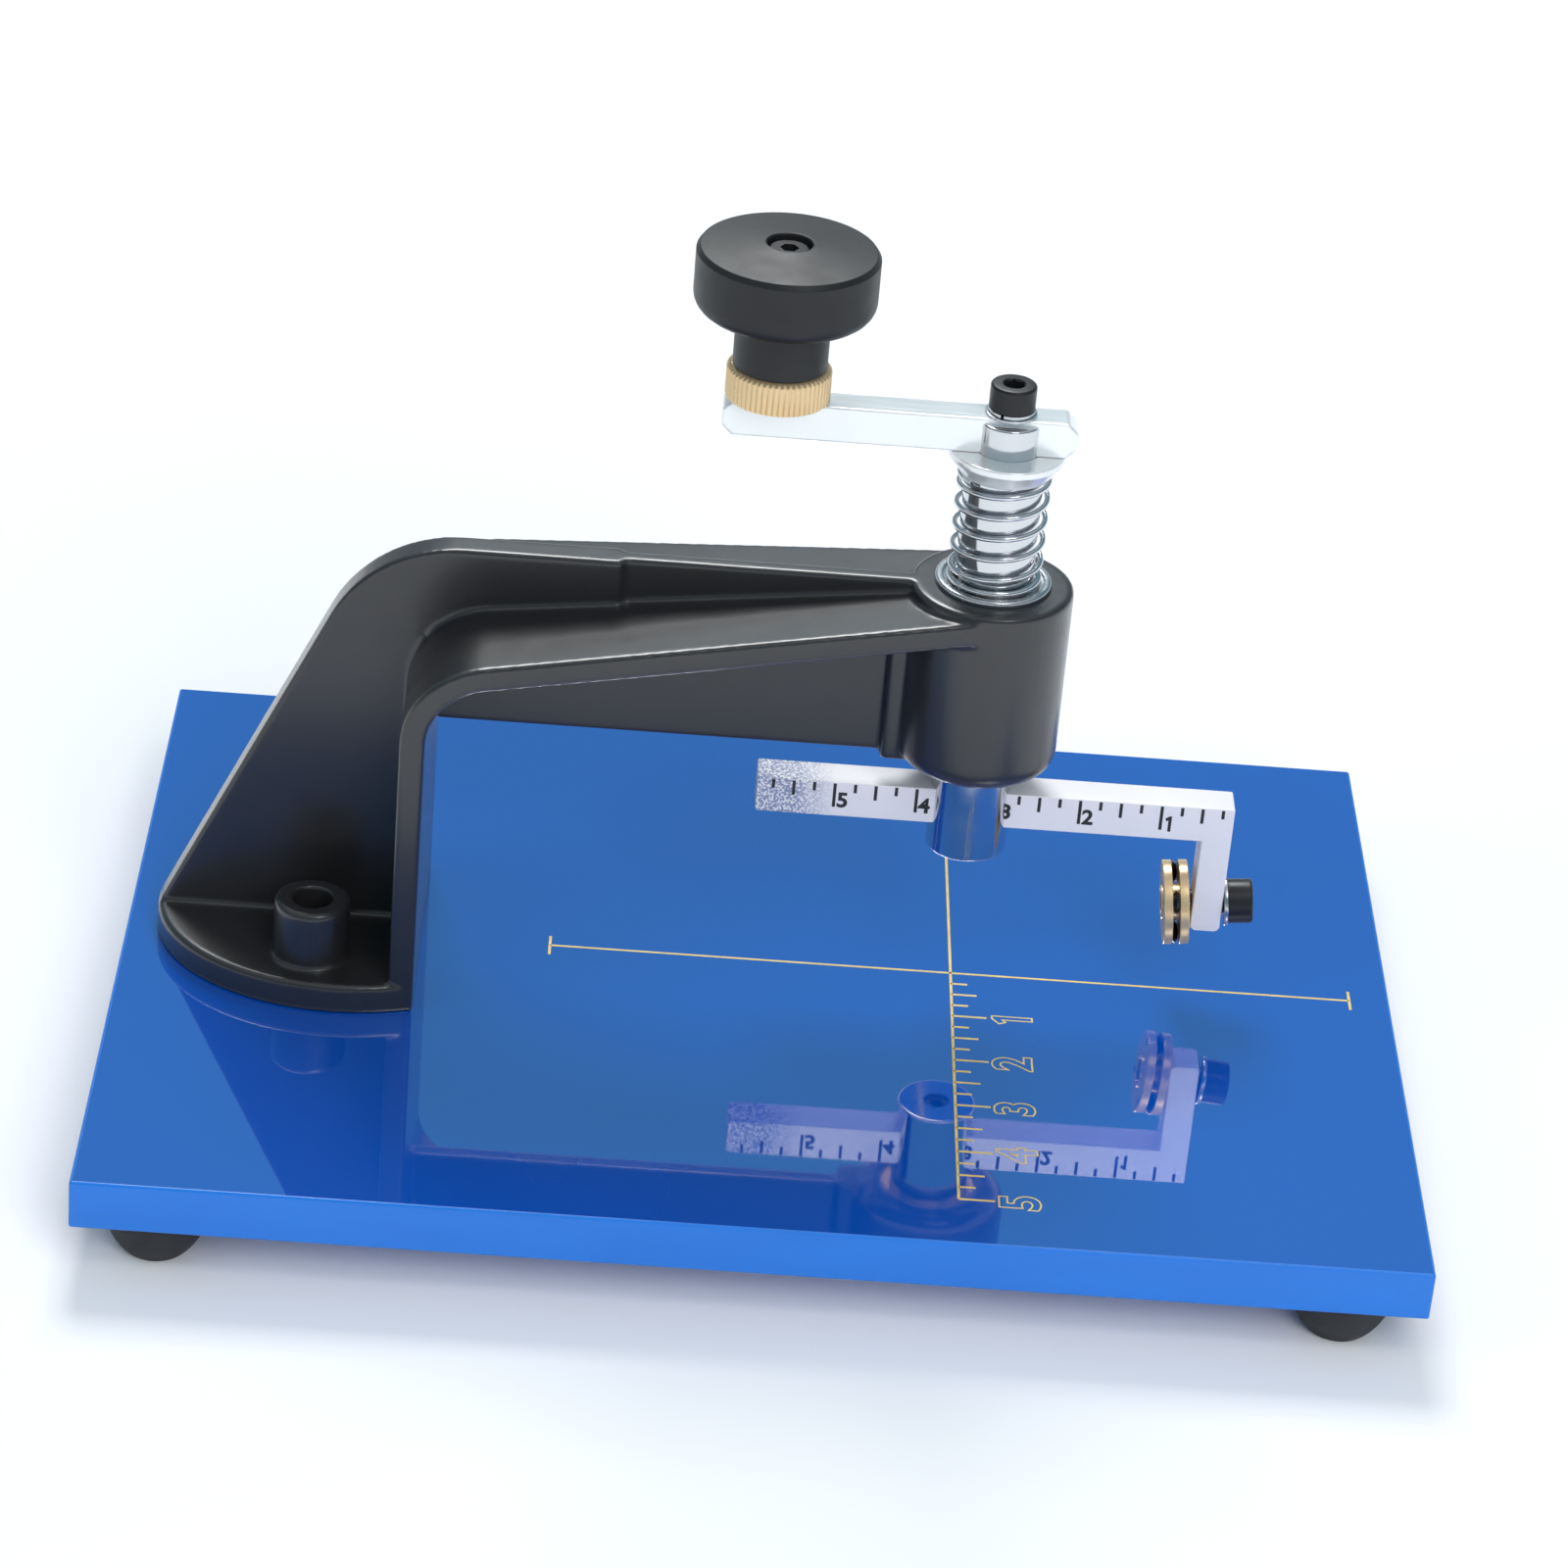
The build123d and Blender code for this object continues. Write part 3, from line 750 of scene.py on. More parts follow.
    def cut(self, *tools: Form) -> Form:
        """Subtract other forms.

        Args:
            tools: The forms that are taken away, which are used up.

        Returns:
            The form itself.
        """
        target = self.holder("cut_target")
        blades = [tool.holder("cut_tool") for tool in tools]
        for blade in blades:
            step = target.modifiers.new("cut", "BOOLEAN")
            step.operation = "DIFFERENCE"
            step.solver = "EXACT"
            step.object = blade
        self.through(target)
        for blade in blades:
            bpy.data.meshes.remove(blade.data)
        return self

    def cast(self, voxel: float, smooth: int, share: float) -> Form:
        """Round every edge and corner as a casting's are.

        Args:
            voxel: Cell size of the remesh.
            smooth: Rounds of smoothing.
            share: Share of the faces that is kept.

        Returns:
            The form itself.
        """
        made = self.holder("cast")
        remesh = made.modifiers.new("skin", "REMESH")
        remesh.mode = "VOXEL"
        remesh.voxel_size = voxel
        relax = made.modifiers.new("relax", "SMOOTH")
        relax.factor = 0.5
        relax.iterations = smooth
        thin = made.modifiers.new("thin", "DECIMATE")
        thin.ratio = share
        return self.through(made)


def rounded(corners: Sequence[tuple[float, float, float]], steps: int = 4) -> list[tuple[float, float]]:
    """Profile from (radius, height, rounding) corners, each rounded by an arc.

    Args:
        corners: Corner points of a closed profile, each with its radius of rounding.
        steps: Straight pieces in each arc.

    Returns:
        (radius, height) points.
    """
    points: list[tuple[float, float]] = []
    count = len(corners)
    for i, (x, z, radius) in enumerate(corners):
        here = Vector((x, z))
        if radius <= 0:
            points.append((x, z))
            continue
        back = (Vector(corners[i - 1][:2]) - here).normalized()
        ahead = (Vector(corners[(i + 1) % count][:2]) - here).normalized()
        half = back.angle(ahead) / 2
        centre = here + (back + ahead).normalized() * (radius / math.sin(half))
        start = here + back * (radius / math.tan(half)) - centre
        end = here + ahead * (radius / math.tan(half)) - centre
        for step in range(steps + 1):
            spot = centre + start.slerp(end, step / steps).normalized() * radius
            points.append((spot.x, spot.y))
    return points


def tick_length(lengths: tuple[float, float, float], index: int, divisions: int) -> float:
    """Length of a ruler's mark.

    Args:
        lengths: Lengths of a whole, an even and an odd mark.
        index: The mark's number, counted from 0.
        divisions: Marks to one unit.

    Returns:
        The length that the mark takes.
    """
    if index % divisions == 0:
        return lengths[0]
    return lengths[1] if index % 2 == 0 else lengths[2]


class Bench:
    """Puts finished pieces on the frame's bodies."""

    def __init__(self, frame: dict[str, object]) -> None:
        """Make every finish once and remember the frame."""
        self.frame = frame
        self.finishes = {slot: finish.build(slot.value) for slot, finish in FINISHES.items()}

    def place(self, name: str, form: Form, look: Slot | Finish, body: str, replaces: Iterable[str] = (),
              sharp: float = 40.0, even: bool = True) -> bpy.types.Object:
        """Turn a form into a piece.

        Args:
            name: The piece's name.
            form: Its shape, in millimetres.
            look: The record's slot that gives its finish, or a finish of its own.
            body: The body that it rides on.
            replaces: CAD nodes that it stands for.
            sharp: Angle in degrees above which an edge shades as sharp.
            even: Whether large faces steer the shading of the edges beside them.

        Returns:
            The piece.
        """
        bmesh.ops.scale(form.bm, vec=(MM,) * 3, verts=form.bm.verts)
        mesh = bpy.data.meshes.new(name)
        form.bm.to_mesh(mesh)
        form.bm.free()
        mesh.shade_smooth()
        mesh.set_sharp_from_angle(angle=math.radians(sharp))
        piece = bpy.data.objects.new(name, mesh)
        bpy.context.scene.collection.objects.link(piece)
        if even:
            piece.modifiers.new("even_shading", "WEIGHTED_NORMAL").keep_sharp = True
        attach(piece, body)
        if isinstance(look, Slot):
            mesh.materials.append(self.finishes[look])
        else:
            mesh.materials.append(look.build(name + "_finish"))
        if replaces:
            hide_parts(*replaces)
        LOG.info("%s: %d faces on %s", name, len(mesh.polygons), body)
        return piece

    def dress(self, node: str, slot: Slot) -> None:
        """Give a CAD node its finish.

        Args:
            node: The node's name.
            slot: The slot that gives its finish.
        """
        mesh = self.frame["nodes"][node].data
        mesh.materials.clear()
        mesh.materials.append(self.finishes[slot])
        LOG.info("%s: CAD shape, %s", node, slot.value)


@dataclass(frozen=True)
class SocketScrew:
    """A socket head screw that stands on its seat at height 0, shank down."""

    head_r: float = 3.5
    head_h: float = 3.9
    shank_r: float = 2.0
    socket: float = 3.0
    socket_depth: float = 2.2
    edge: float = 0.45
    point: float = 0.4
    under_edge: float = 0.12
    lead: float = 0.35
    lead_flare: float = 0.64

    def form(self, reach: float) -> Form:
        """The screw, with a shank that reaches down from the seat.

        Args:
            reach: Depth of the tip below the seat.

        Returns:
            The screw.
        """
        top, floor = self.head_h, self.head_h - self.socket_depth
        profile = rounded([(0, -reach, 0), (self.shank_r - self.point, -reach, 0),
                           (self.shank_r, self.point - reach, 0), (self.shank_r, 0, 0),
                           (self.head_r, 0, self.under_edge), (self.head_r, top, self.edge), (0, top, 0)])
        half = self.socket / 2
        bevelled = Form.lathe([(0, floor), (half, floor), (half - 0.05, top - self.lead),
                               (self.socket * self.lead_flare, top + 0.1), (0, top + 0.1)], 48)
        screw = Form.lathe(profile, 64)
        return screw.cut(Form.hexagon(self.socket, floor, top + BEYOND), bevelled)


# ---------------------------------------------------------------- stand
@dataclass
class Stand:
    """The board with its markings, and the feet."""

    bench: Bench
    edge: float = 0.45
    level: float = 0.98
    pocket_r: float = 5.0
    pocket_depth: float = 4.2
    unit: float = 12.7
    units: int = 5
    divisions: int = 4
    line: float = 0.42
    ink: float = 0.03
    sunk: float = 0.01
    serif: float = 5.4
    ticks: tuple[float, float, float] = (5.4, 4.0, 2.6)
    digit: float = 5.8
    digit_offset: float = 9.4
    digit_width: float = 0.95
    digit_weight: float = 0.25
    digit_line: float = 0.14
    digit_flat: float = 0.2
    digit_lift: float = 0.02
    foot_flat: float = 4.6
    foot_recess: float = 3.2
    foot_bore: float = 1.5
    foot_seat: float = 4.0
    foot_lip: float = 0.25
    foot_steps: int = 12

    def board(self) -> None:
        """The acrylic board, with pockets for the nuts underneath."""
        box = Box.of("base_board")
        nuts = Box.of("frame_nut_washers")
        form = Form.box(box.low, box.high).soften(self.edge, 3)
        pockets = []
        for y in (nuts.low.y + nuts.radius, nuts.high.y - nuts.radius):
            pocket = Form.rod(self.pocket_r, box.low.z - BEYOND, box.low.z + self.pocket_depth)
            pockets.append(pocket.move((nuts.centre.x, y, 0)))
        piece = self.bench.place("board", form.cut(*pockets), Slot.ACRYLIC, Body.STAND.value,
                                 ["base_board"])
        piece.data.materials.append(BOARD_SIDE_GLOW.build("board_side_glow"))
        # Steep faces get the side material, whose lighter blue is painted glow.
        for face in piece.data.polygons:
            face.material_index = int(abs(face.normal.z) < self.level)

    def stroke(self, x: tuple[float, float], y: tuple[float, float], deck: float) -> Form:
        """A painted line on the board between two corners."""
        return Form.box((min(x), min(y), deck - self.sunk), (max(x), max(y), deck + self.ink))

    def markings(self) -> None:
        """Crosshair under the spindle and a ruler along its front arm."""
        deck = Box.of("base_board").high.z
        cx, cy = Box.of("spindle").centre.xy
        half, reach = self.line / 2, self.units * self.unit
        strokes = [self.stroke((cx - reach, cx + reach), (cy - half, cy + half), deck),
                   self.stroke((cx - half, cx + half), (cy - reach, cy + reach), deck)]
        for side in (-1, 1):
            x = cx + side * reach
            ends = (cy - self.serif / 2, cy + self.serif / 2)
            strokes.append(self.stroke((x - half, x + half), ends, deck))
        for index in range(1, self.units * self.divisions + 1):
            y = cy - index * self.unit / self.divisions
            length = tick_length(self.ticks, index, self.divisions)
            strokes.append(self.stroke((cx, cx + length), (y - half, y + half), deck))
        for number in range(1, self.units + 1):
            digit = Form.text(str(number), self.digit, self.digit_line, self.digit_weight)
            bmesh.ops.scale(digit.bm, vec=(self.digit_width, 1.0, self.digit_flat), verts=digit.bm.verts)
            digit.turn(Matrix.Rotation(math.radians(90), 4, "Z"))
            place = (cx + self.digit_offset, cy - number * self.unit, deck + self.digit_lift)
            strokes.append(digit.move(place))
        form = Form().add(*strokes)
        self.bench.place("board_markings", form, GOLD_INK, Body.STAND.value, even=False)

    def feet(self) -> None:
        """Four domed feet with a flat ring to stand on and a recess for the screw."""
        for name in ("front_left", "front_right", "rear_left", "rear_right"):
            node = "rubber_foot_" + name
            box = Box.of(node)
            radius, height = box.radius, box.size.z
            bulge = (height ** 2 + (radius - self.foot_flat) ** 2) / (2 * (radius - self.foot_flat))
            start = math.asin(height / bulge)
            turns = [start * (1 - t / self.foot_steps) for t in range(self.foot_steps + 1)]
            dome = [(radius - bulge + bulge * math.cos(t), height - bulge * math.sin(t)) for t in turns]
            recess = [(self.foot_bore, height), (self.foot_bore, self.foot_seat),
                      (self.foot_recess, self.foot_seat), (self.foot_recess, self.foot_lip),
                      (self.foot_recess + self.foot_lip, 0.0)]
            form = Form.lathe(dome + recess, 72).move((box.centre.x, box.centre.y, box.low.z))
            self.bench.place(f"foot_{name}", form, Slot.RUBBER, Body.STAND.value, [node])
        self.bench.dress("foot_screws", Slot.ZINC)

    def build(self) -> None:
        """Make the whole sub-assembly."""
        self.board()
        self.markings()
        self.feet()


@dataclass
class Casting:
    """The cast frame and what fastens it to the board."""

    bench: Bench
    voxel: float = 0.34
    smoothing: int = 8
    share: float = 0.37
    screw: SocketScrew = SocketScrew(2.75, 3.0, 1.5, 2.5, 1.6, 0.35)

    def frame(self) -> None:
        """The casting, rounded all over."""
        form = Form.of_node(self.bench.frame["nodes"]["frame_casting"])
        form.cast(self.voxel, self.smoothing, self.share)
        self.bench.place("cast_frame", form, Slot.ENAMEL, Body.STAND.value, ["frame_casting"],
                         sharp=80.0)

    def bolts(self) -> None:
        """The screws in the two bosses."""
        box = Box.of("frame_bolts")
        seat = box.high.z - self.screw.head_h
        form = Form()
        for y in (box.low.y + self.screw.head_r, box.high.y - self.screw.head_r):
            form.add(self.screw.form(seat - box.low.z).move((box.centre.x, y, seat)))
        self.bench.place("frame_screws", form, Slot.OXIDE, Body.STAND.value, ["frame_bolts"])
        self.bench.dress("frame_nuts", Slot.ZINC)
        self.bench.dress("frame_nut_washers", Slot.ZINC)

    def bushes(self) -> None:
        """The bushes that the spindle runs in."""
        self.bench.dress("lower_bush", Slot.BRONZE)
        self.bench.dress("upper_bush", Slot.BRONZE)

    def build(self) -> None:
        """Make the whole sub-assembly."""
        self.frame()
        self.bolts()
        self.bushes()


@dataclass
class SpringStack:
    """Seat washer, return spring and the collar that the spring lifts."""

    bench: Bench
    bore: float = 6.15
    groove_r: float = 7.7
    groove_depth: float = 0.4
    wire_r: float = 0.45
    mean_r: float = 6.8
    dead_turns: float = 0.8
    active_turns: float = 4.6
    steps: int = 40
    wire_sides: int = 12
    tail: float = 150.0
    slack: float = 1.03
    collar_low_r: float = 7.0
    collar_bore: float = 5.05
    rim: float = 1.1

    def seat(self) -> None:
        """Turned washer with a groove for the spring."""
        box = Box.of("spring_seat_washer")
        floor = box.high.z - self.groove_depth
        profile = rounded([(self.bore, box.low.z, 0), (box.radius, box.low.z, 0.15),
                           (box.radius, box.high.z, 0.45), (self.groove_r, box.high.z, 0.2),
                           (self.groove_r, floor, 0.08), (self.bore, floor, 0.1)])
        form = Form.lathe(profile, 128).move((box.centre.x, box.centre.y, 0))
        self.bench.place("seat_washer", form, Slot.ZINC, Body.STAND.value, ["spring_seat_washer"])

    def spring(self) -> None:
        """Coil with closed ends."""
        seat, collar = Box.of("spring_seat_washer"), Box.of("spring_retainer")
        low, high = seat.high.z - self.groove_depth, collar.low.z
        dead_pitch = 2 * self.wire_r * self.slack
        rise = high - low - 2 * self.wire_r - 2 * self.dead_turns * dead_pitch
        form = Form()
        ring = bmesh.ops.create_circle(form.bm, cap_ends=False, radius=self.wire_r,
                                       segments=self.wire_sides)["verts"]
        upright = Matrix.Rotation(math.radians(90), 4, "X")
        bmesh.ops.transform(form.bm, matrix=Matrix.Translation((self.mean_r, 0, 0)) @ upright, verts=ring)
        geom = ring + form.bm.edges[:]
        bmesh.ops.rotate(form.bm, cent=(0, 0, 0), verts=ring,
                         matrix=Matrix.Rotation(math.radians(self.tail), 3, "Z"))
        for turns, pitch in ((self.dead_turns, dead_pitch), (self.active_turns, rise / self.active_turns),
                             (self.dead_turns, dead_pitch)):
            steps = round(turns * self.steps)
            geom = bmesh.ops.spin(form.bm, geom=geom, cent=(0, 0, 0), axis=(0, 0, 1),
                                  dvec=(0, 0, turns * pitch / steps), angle=turns * FULL_TURN,
                                  steps=steps)["geom_last"]
        bmesh.ops.holes_fill(form.bm, edges=[e for e in form.bm.edges if e.is_boundary], sides=0)
        form.tidy().move((seat.centre.x, seat.centre.y, low + self.wire_r))
        piece = self.bench.place("coil_spring", form, Slot.SPRING, Body.STAND.value, ["return_spring"],
                                 60.0)
        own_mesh(piece)

    def collar(self) -> None:
        """Dished collar: a thin rim over a cone."""
        box = Box.of("spring_retainer")
        profile = rounded([(self.collar_bore, box.low.z, 0), (self.collar_low_r, box.low.z, 0.25),
                           (box.radius, box.high.z - self.rim, 0.3), (box.radius, box.high.z, 0.3),
                           (self.collar_bore, box.high.z, 0)])
        form = Form.lathe(profile, 128).move((box.centre.x, box.centre.y, 0))
        self.bench.place("spring_collar", form, COLLAR_STEEL, Body.PRESS.value, ["spring_retainer"])

    def build(self) -> None:
        """Make the whole sub-assembly."""
        self.seat()
        self.spring()
        self.collar()


@dataclass
class Crank:
    """Spindle, crank bar and their screws and washers."""

    bench: Bench
    boss_r: float = 5.0
    shaft_r: float = 6.0
    play: float = 0.05
    arm_play: float = 0.2
    clamp_bore: float = 2.05
    washer_bore: float = 2.15
    split_gap: float = 0.5
    split_at: float = 155.0
    bar_edge: float = 0.35
    bar_corner: float = 1.6
    screw: SocketScrew = SocketScrew()

    def spindle(self) -> None:
        """Ground spindle, slotted for the arm below and the crank bar above."""
        box, bar, arm = Box.of("spindle"), Box.of("crank_bar"), Box.of("scale_arm")
        collar, bush = Box.of("spring_retainer"), Box.of("upper_bush")
        arm_low = arm.high.z - (arm.size.y + self.arm_play)
        neck = collar.low.z - self.play
        profile = rounded([(0, box.low.z, 0), (box.radius, box.low.z, 0.4),
                           (box.radius, bush.low.z, 0.05), (self.shaft_r, bush.low.z, 0),
                           (self.shaft_r, neck, 0.15), (self.boss_r, neck, 0),
                           (self.boss_r, box.high.z, 0.35), (0, box.high.z, 0)])
        x, y = box.centre.xy
        wide = box.radius + 4
        form = Form.lathe(profile, 128).move((x, y, 0))
        tools = [Form.box((x - wide, bar.low.y, bar.low.z), (x + wide, bar.high.y, box.high.z + BEYOND)),
                 Form.box((x - wide, arm.low.y - self.play, arm_low - self.play),
                          (x + wide, arm.high.y + self.play, arm.high.z + self.play)),
                 Form.rod(self.clamp_bore, box.low.z - BEYOND, arm_low).move((x, y, 0))]
        self.bench.place("spindle_shaft", form.cut(*tools), Slot.GROUND, Body.CRANK.value, ["spindle"],
                         30.0)
        self.bench.dress("arm_clamp_screw", Slot.OXIDE)

    def bar(self) -> None:
        """Plated square bar with its end corners cut back."""
        box = Box.of("crank_bar")
        form = Form.box(box.low, box.high)
        ends = [e for e in form.bm.edges if abs(e.verts[0].co.y - e.verts[1].co.y) > 1]
        bmesh.ops.bevel(form.bm, geom=ends, offset=self.bar_corner, offset_type="OFFSET", segments=1,
                        profile=0.5, affect="EDGES", clamp_overlap=True, material=-1)
        form.soften(self.bar_edge, 3, 25.0)
        self.bench.place("crank_handle_bar", form, Slot.NICKEL, Body.CRANK.value, ["crank_bar"])

    def washer(self, node: str, name: str, split: bool = False) -> None:
        """A washer on the spindle's axis, split if it is a lock washer.

        Args:
            node: The CAD washer.
            name: The piece's name.
            split: Whether it is cut through.
        """
        box = Box.of(node)
        profile = rounded([(self.washer_bore, box.low.z, 0), (box.radius, box.low.z, 0.08),
                           (box.radius, box.high.z, 0.1), (self.washer_bore, box.high.z, 0)], 2)
        form = Form.lathe(profile, 72)
        if split:
            half = self.split_gap / 2
            gap = Form.box((-half, 1, box.low.z - BEYOND), (half, 6, box.high.z + BEYOND))
            form.cut(gap.turn(Matrix.Rotation(math.radians(self.split_at), 4, "Z")))
        form.move((box.centre.x, box.centre.y, 0))
        self.bench.place(name, form, Slot.ZINC, Body.CRANK.value, [node])

    def screws(self) -> None:
        """The screw that clamps the bar, and the knob's shoulder screw."""
        box = Box.of("crank_screw")
        seat = box.high.z - self.screw.head_h
        form = self.screw.form(seat - box.low.z).move((box.centre.x, box.centre.y, seat))
        self.bench.place("crank_clamp_screw", form, Slot.OXIDE, Body.CRANK.value, ["crank_screw"])
        self.bench.dress("knob_axle_screw", Slot.OXIDE)

    def build(self) -> None:
        """Make the whole sub-assembly."""
        self.spindle()
        self.bar()
        self.washer("crank_flat_washer", "flat_washer")
        self.washer("crank_lock_washer", "lock_washer", split=True)
        self.screws()


@dataclass
class Knob:
    """The mushroom knob and its knurled brass ferrule."""

    bench: Bench
    neck_r: float = 7.1
    under: float = 8.6
    bore: float = 2.56
    recess_r: float = 3.35
    recess_depth: float = 2.8
    crown: float = 1.0
    lip: float = 0.55
    lip_height: float = 0.75
    ridges: int = 56
    ridge: float = 0.32
    ridge_shape: tuple[float, float, float, float] = (0.0, 0.8, 1.0, 0.8)
    ferrule_edge: float = 0.15
    ferrule_bevel: tuple[float, float] = (0.5, 0.55)

    def cap(self) -> None:
        """The knob: neck, rounded underside, skirt, lip and low crown."""
        box = Box.of("knob")
        low, high, radius = box.low.z, box.high.z, box.radius
        shoulder = high - self.crown
        corners = [(self.bore, low, 0), (self.neck_r, low, 0.3), (self.neck_r, low + self.under, 0.9),
                   (radius, low + self.under, 2.8), (radius, shoulder - self.lip_height, 0.25),
                   (radius - self.lip, shoulder, 0.3), (self.recess_r, high, 0.35),
                   (self.recess_r, high - self.recess_depth, 0), (self.bore, high - self.recess_depth, 0)]
        form = Form.lathe(rounded(corners, 6), 144).move((box.centre.x, box.centre.y, 0))
        self.bench.place("knob_cap", form, Slot.PLASTIC, Body.KNOB.value, ["knob"])

    def ferrule(self) -> None:
        """Straight-knurled ring with a bevelled upper edge."""
        box = Box.of("knob_ferrule")
        low, high, radius = box.low.z, box.high.z, box.radius
        root = radius - self.ridge
        edge, (inset, drop) = self.ferrule_edge, self.ferrule_bevel
        profile = [(self.bore, low), (root - edge, low), (root, low + edge), (root, high - drop),
                   (root - inset, high), (self.bore, high)]
        points = len(self.ridge_shape)
        form = Form.lathe(profile, self.ridges * points)
        for vert in form.bm.verts:
            flat = vert.co.xy.length
            if flat > root - 0.05:
                turn = math.atan2(vert.co.y, vert.co.x) * self.ridges / FULL_TURN
                lift = self.ridge_shape[round((turn % 1.0) * points) % points]
                vert.co.xy *= (flat + self.ridge * lift) / flat
        form.move((box.centre.x, box.centre.y, 0))
        self.bench.place("knurled_ferrule", form, Slot.BRASS, Body.KNOB.value, ["knob_ferrule"], 50.0)

    def build(self) -> None:
        """Make the whole sub-assembly."""
        self.cap()
        self.ferrule()


@dataclass
class ScaleArm:
    """The bent arm, its scale and the turret's screw."""

    bench: Bench
    leg: float = 4.7
    depth: float = 6.1
    edge: float = 0.3
    toe: float = 0.8
    one_from_right: float = 11.35
    unit: float = 12.7
    divisions: int = 4
    ticks: tuple[float, float, float] = (4.4, 2.8, 1.75)
    tick: float = 0.5
    tick_inset: float = 0.25
    marks: int = 23
    ink: float = 0.02
    sunk: float = 0.01
    digit: float = 2.5
    digit_weight: float = 0.12
    digit_beside: float = 0.42
    digit_below: float = 3.25
    washer_seat: float = 7.61
    washer_t: float = 0.6
    washer_r: float = 3.9
    washer_bore: float = 2.1
    screw_past: float = 2.15
    screw: SocketScrew = SocketScrew()

    def arm(self) -> None:
        """Square bar with a leg at its right end."""
        box = Box.of("scale_arm")
        form = Form.box((box.low.x, box.low.y, box.high.z - self.depth), box.high)
        bmesh.ops.bisect_plane(form.bm, geom=form.bm.verts[:] + form.bm.edges[:] + form.bm.faces[:],
                               plane_co=(box.high.x - self.leg, 0, 0), plane_no=(1, 0, 0))
        under = [f for f in form.bm.faces
                 if f.normal.z < -0.5 and f.calc_center_median().x > box.high.x - self.leg]
        down = bmesh.ops.extrude_face_region(form.bm, geom=under)["geom"]
        moved = [g for g in down if isinstance(g, bmesh.types.BMVert)]
        bmesh.ops.translate(form.bm, vec=(0, 0, box.low.z - (box.high.z - self.depth)), verts=moved)
        bmesh.ops.delete(form.bm, geom=under, context="FACES_ONLY")
        toes = [e for e in form.bm.edges if abs(e.verts[0].co.y - e.verts[1].co.y) > 1
                and e.verts[0].co.z < box.low.z + 0.1 and e.verts[1].co.z < box.low.z + 0.1]
        bmesh.ops.bevel(form.bm, geom=toes, offset=self.toe, offset_type="OFFSET", segments=2, profile=0.5,
                        affect="EDGES", clamp_overlap=True, material=-1)
        form.tidy().soften(self.edge, 2, 40.0)
        self.bench.place("scale_arm_bar", form, Slot.ALUMINIUM, Body.ARM.value, ["scale_arm"])

    def scale(self) -> None:
        """Engraved and inked graduations on the front face, numbered leftwards."""
        box = Box.of("scale_arm")
        face, top = box.low.y, box.high.z
        one = box.high.x - self.one_from_right
        marks = []
        for index in range(1, self.marks + 1):
            x = one - (index / self.divisions - 1) * self.unit
            length = tick_length(self.ticks, index, self.divisions)
            marks.append(Form.box((x - self.tick / 2, face - self.ink, top - length),
                                  (x + self.tick / 2, face + self.sunk, top - self.tick_inset)))
        for number in range(1, 6):
            digit = Form.text(str(number), self.digit, weight=self.digit_weight)
            digit.turn(Matrix.Rotation(math.radians(90), 4, "X"))
            x = one - (number - 1) * self.unit + self.tick / 2 + self.digit * self.digit_beside
            marks.append(digit.move((x, face - self.ink, top - self.digit_below)))
        self.bench.place("arm_scale", Form().add(*marks), BLACK_INK, Body.ARM.value, even=False)

    def fastening(self, tilt: Matrix) -> None:
        """Screw and washer on the turret's axis.

        Args:
            tilt: The turret's place and axis.
        """
        seat, near, far = self.washer_seat + self.washer_t, self.washer_seat, self.washer_r
        profile = rounded([(self.washer_bore, near, 0), (far, near, 0.1), (far, seat, 0.1),
                           (self.washer_bore, seat, 0)], 2)
        washer = Form.lathe(profile, 72).turn(tilt)
        self.bench.place("arm_washer", washer, Slot.ZINC, Body.ARM.value, ["turret_washer"])
        screw = self.screw.form(seat + self.screw_past).move((0, 0, seat)).turn(tilt)
        self.bench.place("arm_screw", screw, Slot.OXIDE, Body.ARM.value, ["turret_screw"])

    def build(self, tilt: Matrix) -> None:
        """Make the whole sub-assembly.

        Args:
            tilt: The turret's place and axis.
        """
        self.arm()
        self.scale()
        self.fastening(tilt)


